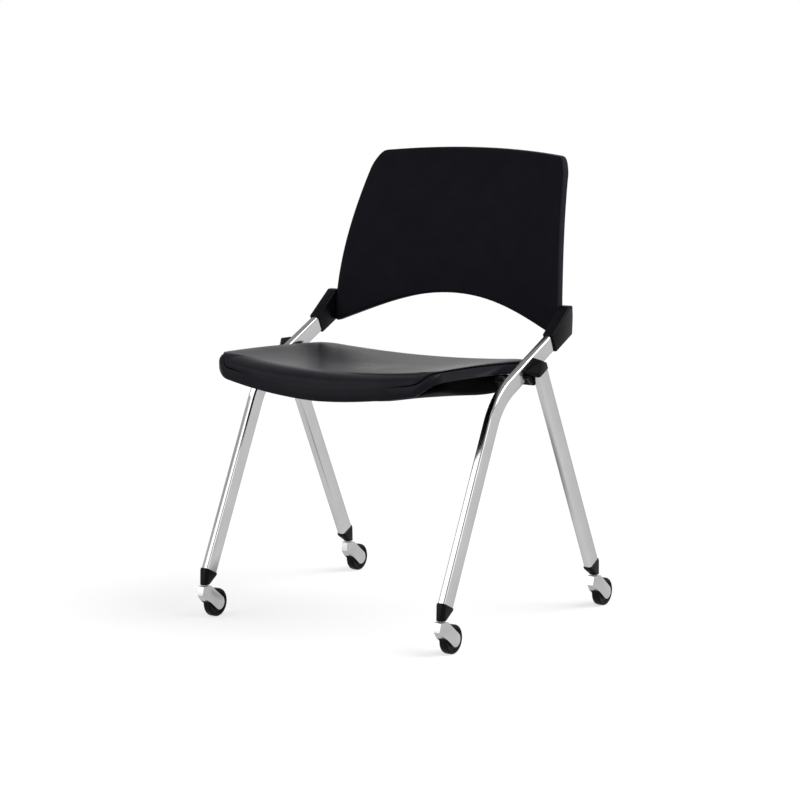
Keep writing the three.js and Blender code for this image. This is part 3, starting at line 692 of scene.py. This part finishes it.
def seat_crease(p, normal):
    """The groove below the roll: its inset, the shoulder below it, its width and its depth.

    It runs along the sides and round the front corners and fades out along the front."""
    fade_from, fade_to = SEAT_CREASE_FADE
    share = (abs(p.x) / SEAT_HALF_WIDTH - fade_from) / (fade_to - fade_from)
    share = max(SEAT_CREASE_LEAST, min(1.0, share))
    front = max(0.0, -normal.y)
    corner = 2 * front * math.sqrt(max(0.0, 1 - front * front))
    inset = SEAT_CREASE_SIDE + SEAT_CREASE_CORNER * corner
    return inset * share, SEAT_SHOULDER, SEAT_GROOVE * share, SEAT_GROOVE_DEPTH * share


def outline_normals(outline):
    count = len(outline)
    normals = []
    for i in range(count):
        chord = (outline[(i + 1) % count] - outline[i - 1]).normalized()
        normals.append(Vector((chord.y, -chord.x)))
    return normals


def shell_faces(ring_count, count):
    """Faces between neighbouring rings, and fans to the two centre points that follow them."""
    faces = []
    for k in range(ring_count - 1):
        for i in range(count):
            j = (i + 1) % count
            faces.append((k * count + i, k * count + j, (k + 1) * count + j, (k + 1) * count + i))
    last = (ring_count - 1) * count
    middle = ring_count * count
    for i in range(count):
        j = (i + 1) % count
        faces.append((middle, j, i))
        faces.append((middle + 1, last + i, last + j))
    return faces


def moulded_shell(name, outline, centre, place, wall, edge, crease=None,
                  skins=SEAT_SKINS, rolls=SEAT_ROLLS):
    """A moulded skin with a rolled edge, a band below it and a turned-in rim.

    place puts a point of the outline's plane, at a height off the skin, into space. edge gives
    the roll's reach and drop and the band's height. crease, if given, gives the groove between
    roll and band. The rings run from the centre out over the skin and back in behind it."""
    normals = outline_normals(outline)
    edges = [edge(p, n) for p, n in zip(outline, normals)]
    creases = [crease(p, n) if crease else (0, 0, 0, 0) for p, n in zip(outline, normals)]
    count = len(outline)
    rings = []

    def inset(i, distance):
        return outline[i] - normals[i] * distance

    def ring(at):
        rings.append([place(*at(i, *edges[i], *creases[i])) for i in range(count)])

    def skin(share, height):
        ring(lambda i, reach, drop, band, start, *rest: (mix(centre, inset(i, start + reach), share), height))

    quarter = [math.pi / 2 * k / rolls for k in range(rolls + 1)]
    shares = [math.sin(math.pi / 2 * k / skins) for k in range(1, skins)]
    for share in shares:
        skin(share, 0)
    for angle in quarter:
        across, down = 1 - math.sin(angle), 1 - math.cos(angle)
        ring(lambda i, reach, drop, band, start, *rest: (inset(i, start + reach * across), -drop * down))
    if crease:
        ring(lambda i, reach, drop, band, start, shoulder, width, depth:
             (inset(i, start + depth), -drop - width / 2))
        for angle in quarter:
            across, down = 1 - math.sin(angle), 1 - math.cos(angle)
            ring(lambda i, reach, drop, band, start, shoulder, width, depth:
                 (inset(i, start * across), -drop - width - shoulder * down))
    for sideways, lift in ((0, RIM_ROUND), (RIM_ROUND / 4, RIM_ROUND / 4), (RIM_ROUND, 0), (wall, 0)):
        ring(lambda i, reach, drop, band, *rest: (inset(i, sideways), lift - drop - band))
    if crease:
        ring(lambda i, reach, drop, band, start, shoulder, width, depth:
             (inset(i, wall), -drop - width - shoulder - RIM_STEP))
    for angle in quarter[::-2]:
        across, down = 1 - math.sin(angle), 1 - math.cos(angle)
        ring(lambda i, reach, drop, band, start, *rest:
             (inset(i, start + wall + max(0.0, reach - wall) * across),
              -wall - max(0.0, drop - wall) * down))
    for share in reversed(shares):
        skin(share, -wall)
    points = [p for r in rings for p in r]
    points += [place(centre, 0), place(centre, -wall)]
    return make_object(name, points, shell_faces(len(rings), count), sharp=SHELL_SHARP_ANGLE)


def seat_shell():
    outline = seat_outline(SEAT_HALF_WIDTH, SEAT_FRONT_Y, SEAT_REAR_Y, SEAT_FRONT_CORNER,
                           SEAT_REAR_CORNER, SEAT_BULGE, SEAT_POINTS)
    centre = Vector((0, (SEAT_FRONT_Y + SEAT_REAR_Y) / 2))
    shell = moulded_shell("seat_moulding", outline, centre,
                          lambda p, height: Vector((p.x, p.y, seat_top(p) + height)),
                          SEAT_WALL, seat_edge, seat_crease)
    dressed(shell, "seat", "seat_plastic", "seat_shell")


# Tray under the seat
TRAY_CORNER = 40 * MM
TRAY_REAR_CORNER = 6 * MM
TRAY_WALL = 3 * MM
TRAY_ROLL = 8 * MM
TRAY_SIDE_RISE = 1.5 * MM
TRAY_FRONT_RISE = 38 * MM
TRAY_RISE_POWER = 4
TRAY_SKINS = 8
TRAY_ROLLS = 6
tray_low, tray_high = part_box("seat_tray")


def tray_bottom(p):
    fore = (tray_high.y - p.y) / (tray_high.y - tray_low.y)
    rise = TRAY_SIDE_RISE + TRAY_FRONT_RISE * fore * fore
    return tray_low.z + rise * (abs(p.x) / tray_high.x) ** TRAY_RISE_POWER


def seat_tray():
    outline = seat_outline(tray_high.x, tray_low.y, tray_high.y, TRAY_CORNER, TRAY_REAR_CORNER,
                           SEAT_BULGE, TRAY_POINTS)
    centre = Vector((0, (tray_low.y + tray_high.y) / 2))

    def edge(p, normal):
        height = seat_top(p) - SEAT_WALL - 2 * FIT_GAP - tray_bottom(p)
        return TRAY_ROLL, TRAY_ROLL, height - TRAY_ROLL

    tray = moulded_shell("tray_moulding", outline, centre,
                         lambda p, height: Vector((p.x, p.y, tray_bottom(p) - height)),
                         TRAY_WALL, edge, skins=TRAY_SKINS, rolls=TRAY_ROLLS)
    # The tray wears the darker copy of the black plastic: painted shade
    dressed(tray, "seat", "black_plastic", "seat_tray", finish=TRAY_PAINTED_SHADE_FINISH)


# Back shell
EAR_DROP = 21 * MM
BACK_SETBACK = 30.7 * MM
BACK_HEIGHT = 324.8 * MM
BACK_CROWN = 9.6 * MM
BACK_TAPER = 32 * MM
BACK_CORNER = 29.3 * MM
ARCH_RISE = 67 * MM
EAR_CORNER = 9 * MM
EAR_LIFT = 5 * MM
BACK_CURVE = 644 * MM
BACK_HOLLOW = 30 * MM
BACK_RIM = 18 * MM
BACK_WALL = 4 * MM
BACK_ROLL = 5.5 * MM
BACK_SIDE_ROLL = 9 * MM
BACK_CENTRE_RISE = 202 * MM
ARCH_SHARES = [(0.36, 1), (0.63, 0.58)]     # of half width, rise
SIDE_SHARES = [(1, 0.385), (0.4, 0.75)]     # of taper, height to the corner
CORNER_SHARES = [(0.35, 0), (0.76, 0.08)]   # of corner, crown
CROWN_SHARE = 0.455                         # of the top's half width
BACK_HALF_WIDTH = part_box("back_shell")[1].x
EAR_TIP_Z = tube_top.y - EAR_DROP
BACK_BASE_Y = tube_top.x + BACK_SETBACK


def back_outline():
    top_z = EAR_TIP_Z + BACK_HEIGHT
    side_top = top_z - BACK_CROWN
    corner_z = side_top - BACK_CORNER
    top_half = BACK_HALF_WIDTH - BACK_TAPER
    rise = corner_z - EAR_TIP_Z
    ear_z = EAR_TIP_Z + EAR_LIFT
    arch = [yz(0, EAR_TIP_Z + ARCH_RISE)]
    arch += [yz(a * BACK_HALF_WIDTH, EAR_TIP_Z + b * ARCH_RISE) for a, b in ARCH_SHARES]
    arch.append(yz(BACK_HALF_WIDTH - EAR_CORNER / 2, ear_z))
    ear = [arch[-1], yz(BACK_HALF_WIDTH, ear_z), yz(BACK_HALF_WIDTH, ear_z + EAR_CORNER / 2)]
    side = [ear[-1]] + [yz(top_half + a * BACK_TAPER, EAR_TIP_Z + b * rise) for a, b in SIDE_SHARES]
    side.append(yz(top_half, corner_z))
    corner = [side[-1]]
    corner += [yz(top_half - a * BACK_CORNER, side_top + b * BACK_CROWN) for a, b in CORNER_SHARES]
    crown = [corner[-1], yz(CROWN_SHARE * top_half, top_z), yz(0, top_z)]
    half = []
    for curve in (arch, ear, side, corner, crown):
        half += bezier(curve)[:-1]
    half.append(crown[-1])
    other = [Vector((-p.x, p.y)) for p in reversed(half[1:-1])]
    return resampled(half + other, BACK_POINTS)


def back_face(p):
    rise = p.y - EAR_TIP_Z
    across = p.x / BACK_HALF_WIDTH
    return BACK_BASE_Y + rise * rise / (2 * BACK_CURVE) - BACK_HOLLOW * across * across


def back_edge(p, normal):
    """The back's edge, rolled wider at its two sides than at top and bottom."""
    return mix(BACK_ROLL, BACK_SIDE_ROLL, normal.x ** 2), BACK_ROLL, BACK_RIM - BACK_ROLL


def back_shell():
    shell = moulded_shell("back_moulding", back_outline(), Vector((0, EAR_TIP_Z + BACK_CENTRE_RISE)),
                          lambda p, height: Vector((p.x, back_face(p) - height, p.y)), BACK_WALL, back_edge)
    dressed(shell, "frame", "back_plastic", "back_shell")


# Connector between front tube and back
CONNECTOR_FLANGE = 1.8 * MM
CONNECTOR_GRIP = 45 * MM
CONNECTOR_BEVEL = 1.2 * MM
CONNECTOR_SHARES = [(0, -1), (1.31, -1), (1.63, 0.57), (1.78, 1.6), (1.76, 1.75), (1.56, 1.95), (0, 1)]


def connectors():
    start = along(tube_top, upper_direction, -CONNECTOR_GRIP)
    sleeve = TUBE_DEPTH / 2 + CONNECTOR_FLANGE

    def at(a, b):
        return along(along(start, upper_direction, a), upper_up, b)

    outline = [at(a * CONNECTOR_GRIP, b * sleeve) for a, b in CONNECTOR_SHARES]
    low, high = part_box("back_connector_right")
    body = bevelled(prism("connector", outline, low.x, high.x), CONNECTOR_BEVEL)
    room = rounded_section(TUBE_WIDTH + 2 * FIT_GAP, TUBE_DEPTH + 2 * FIT_GAP, TUBE_CORNER + FIT_GAP)
    bore = loft_mesh("bore", [section_ring(room, FRONT_TUBE_X, at(-CUT_OVERRUN, 0), upper_direction),
                              section_ring(room, FRONT_TUBE_X, at(CONNECTOR_GRIP, 0), upper_direction)])
    dressed_pair(carved(body, bore), "frame", "black_plastic", "back_connector")


# Seat hinge and rests
BRACKET_RIM = 5 * MM
BUFFER_EDGE = MM


def hinge_brackets():
    low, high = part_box("seat_hinge_bracket_right")
    boss = bar_at.y - low.z
    outline = band_outline([
        (bar_at, boss),
        (yz(low.y + BRACKET_RIM, SEAT_HEIGHT), BRACKET_RIM),
        (yz(high.y - BRACKET_RIM, SEAT_HEIGHT), BRACKET_RIM)])
    body = prism("hinge_bracket", outline, low.x, high.x)
    rings = []
    for k in range(ROOM_STEPS + 1):
        x = mix(low.x - CUT_OVERRUN, high.x + CUT_OVERRUN, k / ROOM_STEPS)
        ring = []
        for i in range(ROOM_STEPS + 1):
            y = mix(low.y - boss, high.y + boss, i / ROOM_STEPS)
            ring.append(Vector((x, y, seat_top(Vector((x, y))) - SEAT_WALL - FIT_GAP)))
        ring.append(Vector((x, high.y + boss, low.z - CUT_OVERRUN)))
        ring.append(Vector((x, low.y - boss, low.z - CUT_OVERRUN)))
        rings.append(ring)
    carved(body, loft_mesh("room", rings), operation="INTERSECT")
    bore = bar_across("bore", boss - BRACKET_RIM, low.x - CUT_OVERRUN, high.x + CUT_OVERRUN, bar_at)
    dressed_pair(carved(body, bore), "seat", "black_steel", "seat_hinge_bracket")


def hinge_bushes():
    low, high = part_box("seat_hinge_bush_right")
    half = (high.x - low.x) / 2
    outer = (high.z - low.z) / 2
    inner = BAR_RADIUS + TURN_GAP
    profile = [(inner, -half), (outer, -half), (outer, half), (inner, half)]
    dressed_pair(turned_across("hinge_bush", profile, (low.x + high.x) / 2, bar_at), "seat", "nylon",
                 "seat_hinge_bush")


def seat_rests():
    peg_low, peg_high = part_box("seat_rest_peg_right")
    low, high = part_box("seat_rest_buffer_right")
    centre = yz((low.y + high.y) / 2, (low.z + high.z) / 2)
    radius = (high.z - low.z) / 2
    peg = (peg_high.z - peg_low.z) / 2
    dressed_pair(bar_across("rest_peg", peg, peg_low.x, peg_high.x, centre), "frame", "zinc_steel",
                 "seat_rest_peg")
    length = high.x - low.x
    hole = peg + FIT_GAP / 2
    profile = [(hole, 0), (radius - BUFFER_EDGE, 0), (radius, BUFFER_EDGE),
               (radius, length - BUFFER_EDGE), (radius - BUFFER_EDGE, length), (hole, length)]
    dressed_pair(turned_across("rest_buffer", profile, low.x, centre), "frame", "rubber", "seat_rest_buffer")


# Casters
HOOD_CHEEK = 2.7 * MM
HOOD_SIDE_GAP = 0.8 * MM
HOOD_END = 12.5 * MM
HOOD_CLEAR = 3 * MM
HOOD_HEAD_FORE = 14 * MM
HOOD_HEAD_AFT = 4 * MM
HOOD_HEAD_LOW = 43 * MM
HOOD_TOP_GAP = 0.5 * MM
HOOD_NOSE = 5 * MM
HOOD_LEAN = 2.4 * MM
HOOD_EDGE = MM
HOOD_BEVEL = 1.3 * MM
HOOD_PLAN_SPREAD = 0.2 * MM
HOOD_PLAN_REACH = 3 * WHEEL_RADIUS
HUB_FACE = 7 * MM
HUB_FOOT = 8 * MM
TYRE_HEIGHT = 6 * MM
TYRE_FOOT = MM
TYRE_SINK = 0.6 * MM
WHEEL_RECESS = 2.2 * MM
TREAD_ROUND = 3.5 * MM
AXLE_RADIUS = 3 * MM
AXLE_INSET = 0.7 * MM
AXLE_HEAD = MM
AXLE_HEAD_HEIGHT = 0.9 * MM
AXLE_DOME = 0.3 * MM
AXLE_TIP = 0.2 * MM
SOCKET_COLLAR = 4 * MM
SOCKET_BORE = 10 * MM


def caster_hood(name, x, stem_y):
    axle = yz(stem_y + WHEEL_TRAIL, WHEEL_RADIUS)
    half = WHEEL_WIDTH / 2 + HOOD_SIDE_GAP + HOOD_CHEEK
    top = SOCKET_FOOT_Z - HOOD_TOP_GAP
    fore = stem_y - HOOD_HEAD_FORE + HOOD_EDGE
    outline = band_outline([
        (axle, HOOD_END),
        (yz(fore, HOOD_HEAD_LOW), HOOD_EDGE),
        (yz(fore + HOOD_LEAN, top - HOOD_EDGE), HOOD_EDGE),
        (yz(stem_y + HOOD_HEAD_AFT, top - HOOD_EDGE), HOOD_EDGE)])
    body = bevelled(prism(name, outline, x - half, x + half), HOOD_BEVEL)
    nose_y = -HOOD_HEAD_FORE - HOOD_EDGE
    plan = [(-half, HOOD_HEAD_AFT), (-HOOD_NOSE, nose_y), (HOOD_NOSE, nose_y),
            (half, HOOD_HEAD_AFT), (half, HOOD_PLAN_REACH), (-half, HOOD_PLAN_REACH)]
    rings = [[Vector((x + px + math.copysign(HOOD_PLAN_SPREAD, px), stem_y + py, z)) for px, py in plan]
             for z in (-HOOD_EDGE, top + HOOD_EDGE)]
    carved(body, loft_mesh("plan", rings), operation="INTERSECT")
    slot = WHEEL_WIDTH / 2 + HOOD_SIDE_GAP
    carved(body, bar_across("room", WHEEL_RADIUS + HOOD_CLEAR, x - slot, x + slot, axle, ROOM_SIDES))
    return body


def caster_wheel(name, x, stem_y):
    half = WHEEL_WIDTH / 2
    tyre = WHEEL_RADIUS - TYRE_HEIGHT
    recess = half - WHEEL_RECESS
    bore = AXLE_RADIUS + TURN_GAP
    side = [(bore, half), (HUB_FACE, half), (HUB_FOOT, recess), (tyre - TYRE_FOOT, recess),
            (tyre, half - TYRE_SINK), (WHEEL_RADIUS - TREAD_ROUND, half)]
    for k in range(1, TYRE_STEPS):
        angle = math.pi / 2 * k / TYRE_STEPS
        side.append((WHEEL_RADIUS - TREAD_ROUND * (1 - math.sin(angle)),
                     half - TREAD_ROUND * (1 - math.cos(angle))))
    side.append((WHEEL_RADIUS, half - TREAD_ROUND))
    profile = side + [(radius, -width) for radius, width in reversed(side)]
    return turned_across(name, profile, x, yz(stem_y + WHEEL_TRAIL, WHEEL_RADIUS), TYRE_SIDES)


def caster_axle(name, x, stem_y):
    half = WHEEL_WIDTH / 2 + HOOD_SIDE_GAP + HOOD_CHEEK - AXLE_INSET
    step = half - AXLE_HEAD_HEIGHT
    head = [(AXLE_TIP, half + AXLE_DOME), (AXLE_RADIUS, half), (AXLE_RADIUS + AXLE_HEAD, step),
            (AXLE_RADIUS, step)]
    profile = [(radius, -across) for radius, across in head] + head[::-1]
    return turned_across(name, profile, x, yz(stem_y + WHEEL_TRAIL, WHEEL_RADIUS), PIN_SIDES)


def caster_stem(name, x, stem_y):
    low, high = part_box("front_caster_stem_right")
    return upright_pin(name, STEM_RADIUS, x, stem_y, low.z, high.z)


def caster_socket(name, x, foot, direction, stem_y):
    lip = rounded_section(TUBE_WIDTH + 2 * SOCKET_LIP, TUBE_DEPTH + 2 * SOCKET_LIP, TUBE_CORNER + SOCKET_LIP)
    rim = rounded_section(TUBE_WIDTH + SOCKET_LIP, TUBE_DEPTH + SOCKET_LIP, TUBE_CORNER + SOCKET_LIP / 2)
    round_foot = rounded_section(2 * SOCKET_FOOT, 2 * SOCKET_FOOT, SOCKET_FOOT)
    small = SOCKET_FOOT - SOCKET_FOOT_ROUND
    foot_rim = rounded_section(2 * small, 2 * small, small)
    foot_z = SOCKET_FOOT_Z + SOCKET_FOOT_LIFT
    at = along(foot, direction, -FIT_GAP)
    body = loft_mesh(name, [
        section_ring(rim, x, at, direction),
        section_ring(lip, x, along(at, direction, -SOCKET_LIP / 2), direction),
        section_ring(lip, x, along(at, direction, -SOCKET_COLLAR), direction),
        section_ring(round_foot, x, yz(stem_y, foot_z + SOCKET_FOOT_ROUND), yz(0, 1)),
        section_ring(foot_rim, x, yz(stem_y, foot_z), yz(0, 1))], sharp=SOCKET_SHARP_ANGLE)
    bore = upright_pin("bore", STEM_RADIUS + TURN_GAP, x, stem_y, SOCKET_FOOT_Z - CUT_OVERRUN,
                       SOCKET_FOOT_Z + SOCKET_BORE)
    return carved(body, bore)


def casters():
    corners = [("front", FRONT_TUBE_X, FRONT_STEM.y, front_foot, lower_direction),
               ("rear", REAR_LEG_X, REAR_STEM.y, rear_foot, leg_direction)]
    for end, x, y, foot, direction in corners:
        fork = end + "_{side}_caster"
        dressed_pair(caster_socket(f"{end}_socket", x, foot, direction, y), "frame", "black_plastic",
                     f"{end}_caster_socket")
        dressed_pair(caster_hood(f"{end}_hood", x, y), fork, "silver_hood", f"{end}_caster_hood")
        dressed_pair(caster_stem(f"{end}_stem", x, y), fork, "zinc_steel", f"{end}_caster_stem")
        dressed_pair(caster_axle(f"{end}_axle", x, y), fork, "zinc_steel", f"{end}_caster_axle")
        dressed_pair(caster_wheel(f"{end}_wheel", x, y), end + "_{side}_wheel", "wheel_nylon",
                     f"{end}_caster_wheel")


# Studio: the camera fitted to the photo; how bright the surroundings are, and between which
# upward parts of a direction they darken to the ceiling; lamps as (name, place, size, radiance)
CAMERA_PLACE = Vector((2.67414, -3.90501, 1.07899))
CAMERA_TURN = math.radians(34.458)
CAMERA_DOWN = math.radians(8.4144)
CAMERA_LENS = 122.2
CAMERA_REACH = 100
SENSOR_WIDTH = 36
STUDIO_LEVEL = 0.8
CEILING_RANGE = (0.2, 0.55)
CEILING_SHARE = 0.5
SUN_TOWARDS = Vector((0.61, 0.25, 0.75))
SUN_STRENGTH = 3.6
SUN_WIDTH = math.radians(45)
LAMP_TARGET = Vector((0, -0.2, 0.3))
SOFTBOXES = [("left_box", (-0.92, -1.22, 1.78), (1.6, 1.0), 2.0),
             ("front_box", (-0.95, -1.95, 0.8), (1.3, 1.5), 2.3),
             ("right_box", (2.3, -1.0, 1.3), (0.9, 0.9), 2.2)]


def camera():
    data = bpy.data.cameras.new("camera")
    data.lens = CAMERA_LENS
    data.sensor_width = SENSOR_WIDTH
    data.clip_end = CAMERA_REACH
    obj = bpy.data.objects.new("camera", data)
    bpy.context.collection.objects.link(obj)
    obj.location = CAMERA_PLACE
    obj.rotation_euler = (math.pi / 2 - CAMERA_DOWN, 0, CAMERA_TURN)
    bpy.context.scene.camera = obj


def ray_share(nodes, links, *kinds):
    """1 for rays of the named kinds, 0 for the rest."""
    rays = nodes.new("ShaderNodeLightPath")
    total = rays.outputs[kinds[0]]
    for kind in kinds[1:]:
        total = combined(nodes, links, "MAXIMUM", total, rays.outputs[kind])
    return total


def world():
    """White for the camera; a studio with a darker ceiling for everything else."""
    studio_world = bpy.data.worlds.new("studio")
    studio_world.use_nodes = True
    bpy.context.scene.world = studio_world
    nodes = studio_world.node_tree.nodes
    links = studio_world.node_tree.links
    nodes.clear()
    mirrored_rays = ray_share(nodes, links, "Is Glossy Ray", "Is Transmission Ray")
    strength = mapped(nodes, links, mirrored_rays, (0, 1), (STUDIO_LEVEL, 1))
    parts = nodes.new("ShaderNodeSeparateXYZ")
    links.new(nodes.new("ShaderNodeTexCoord").outputs["Generated"], parts.inputs["Vector"])
    ceiling = mapped(nodes, links, parts.outputs["Z"], CEILING_RANGE, (1, CEILING_SHARE), smooth=True)
    studio = combined(nodes, links, "MULTIPLY", strength, ceiling)
    background = nodes.new("ShaderNodeBackground")
    background.inputs["Color"].default_value = (1, 1, 1, 1)
    camera_rays = ray_share(nodes, links, "Is Camera Ray")
    links.new(combined(nodes, links, "MAXIMUM", camera_rays, studio), background.inputs["Strength"])
    output = nodes.new("ShaderNodeOutputWorld")
    links.new(background.outputs["Background"], output.inputs["Surface"])


# The floor: what it sends back of the light on it, what it adds to be white in the picture,
# and the distances from its middle over which mirrored rays come to see that glow, painted shade under the
# chair in reflections
FLOOR_COLOUR = 0.25
FLOOR_GLOW = 0.68
FLOOR_SHADE_RANGE = (0.02, 0.2)
FLOOR_REACH = 40


def floor_glow(nodes, links):
    """How strongly the floor glows: in full for the camera, fading in for mirrored rays from the middle out,
    which is painted shade under the chair.
    """
    distance = nodes.new("ShaderNodeVectorMath")
    distance.operation = "LENGTH"
    links.new(nodes.new("ShaderNodeTexCoord").outputs["Object"], distance.inputs[0])
    # Painted shade: mirrored rays see no glow near the floor's middle
    fade = mapped(nodes, links, distance.outputs["Value"], FLOOR_SHADE_RANGE, (0, 1), smooth=True)
    mirrored_rays = ray_share(nodes, links, "Is Glossy Ray")
    mirrored_glow = combined(nodes, links, "MULTIPLY", mirrored_rays, fade)
    camera_rays = ray_share(nodes, links, "Is Camera Ray")
    seen = combined(nodes, links, "MAXIMUM", camera_rays, mirrored_glow)
    return combined(nodes, links, "MULTIPLY", seen, FLOOR_GLOW)


def floor():
    reach = FLOOR_REACH
    corners = [(-reach, -reach, 0), (reach, -reach, 0), (reach, reach, 0), (-reach, reach, 0)]
    obj = make_object("floor", corners, [(0, 1, 2, 3)])
    material, nodes, links = node_tree("pale_floor")
    matt = nodes.new("ShaderNodeBsdfDiffuse")
    matt.inputs["Color"].default_value = (*grey(FLOOR_COLOUR), 1)
    glow = nodes.new("ShaderNodeEmission")
    links.new(floor_glow(nodes, links), glow.inputs["Strength"])
    both = nodes.new("ShaderNodeAddShader")
    links.new(matt.outputs["BSDF"], both.inputs[0])
    links.new(glow.outputs["Emission"], both.inputs[1])
    output = nodes.new("ShaderNodeOutputMaterial")
    links.new(both.outputs["Shader"], output.inputs["Surface"])
    obj.data.materials.append(material)


def sun():
    data = bpy.data.lights.new("sun", "SUN")
    data.energy = SUN_STRENGTH
    data.angle = SUN_WIDTH
    obj = bpy.data.objects.new("sun", data)
    bpy.context.collection.objects.link(obj)
    obj.rotation_euler = SUN_TOWARDS.to_track_quat("Z", "Y").to_euler()


def softbox(name, place, size, radiance):
    data = bpy.data.lights.new(name, "AREA")
    data.shape = "RECTANGLE"
    data.size, data.size_y = size
    data.energy = radiance * math.pi * size[0] * size[1]
    obj = bpy.data.objects.new(name, data)
    bpy.context.collection.objects.link(obj)
    obj.location = place
    obj.rotation_euler = (LAMP_TARGET - Vector(place)).to_track_quat("-Z", "Y").to_euler()


bpy.context.scene.view_settings.view_transform = "Standard"
camera()
world()
floor()
sun()
for box in SOFTBOXES:
    softbox(*box)
side_frames()
leg_caps()
joint_lugs()
cross_bar()
seat_shell()
seat_tray()
back_shell()
connectors()
hinge_brackets()
hinge_bushes()
seat_rests()
casters()
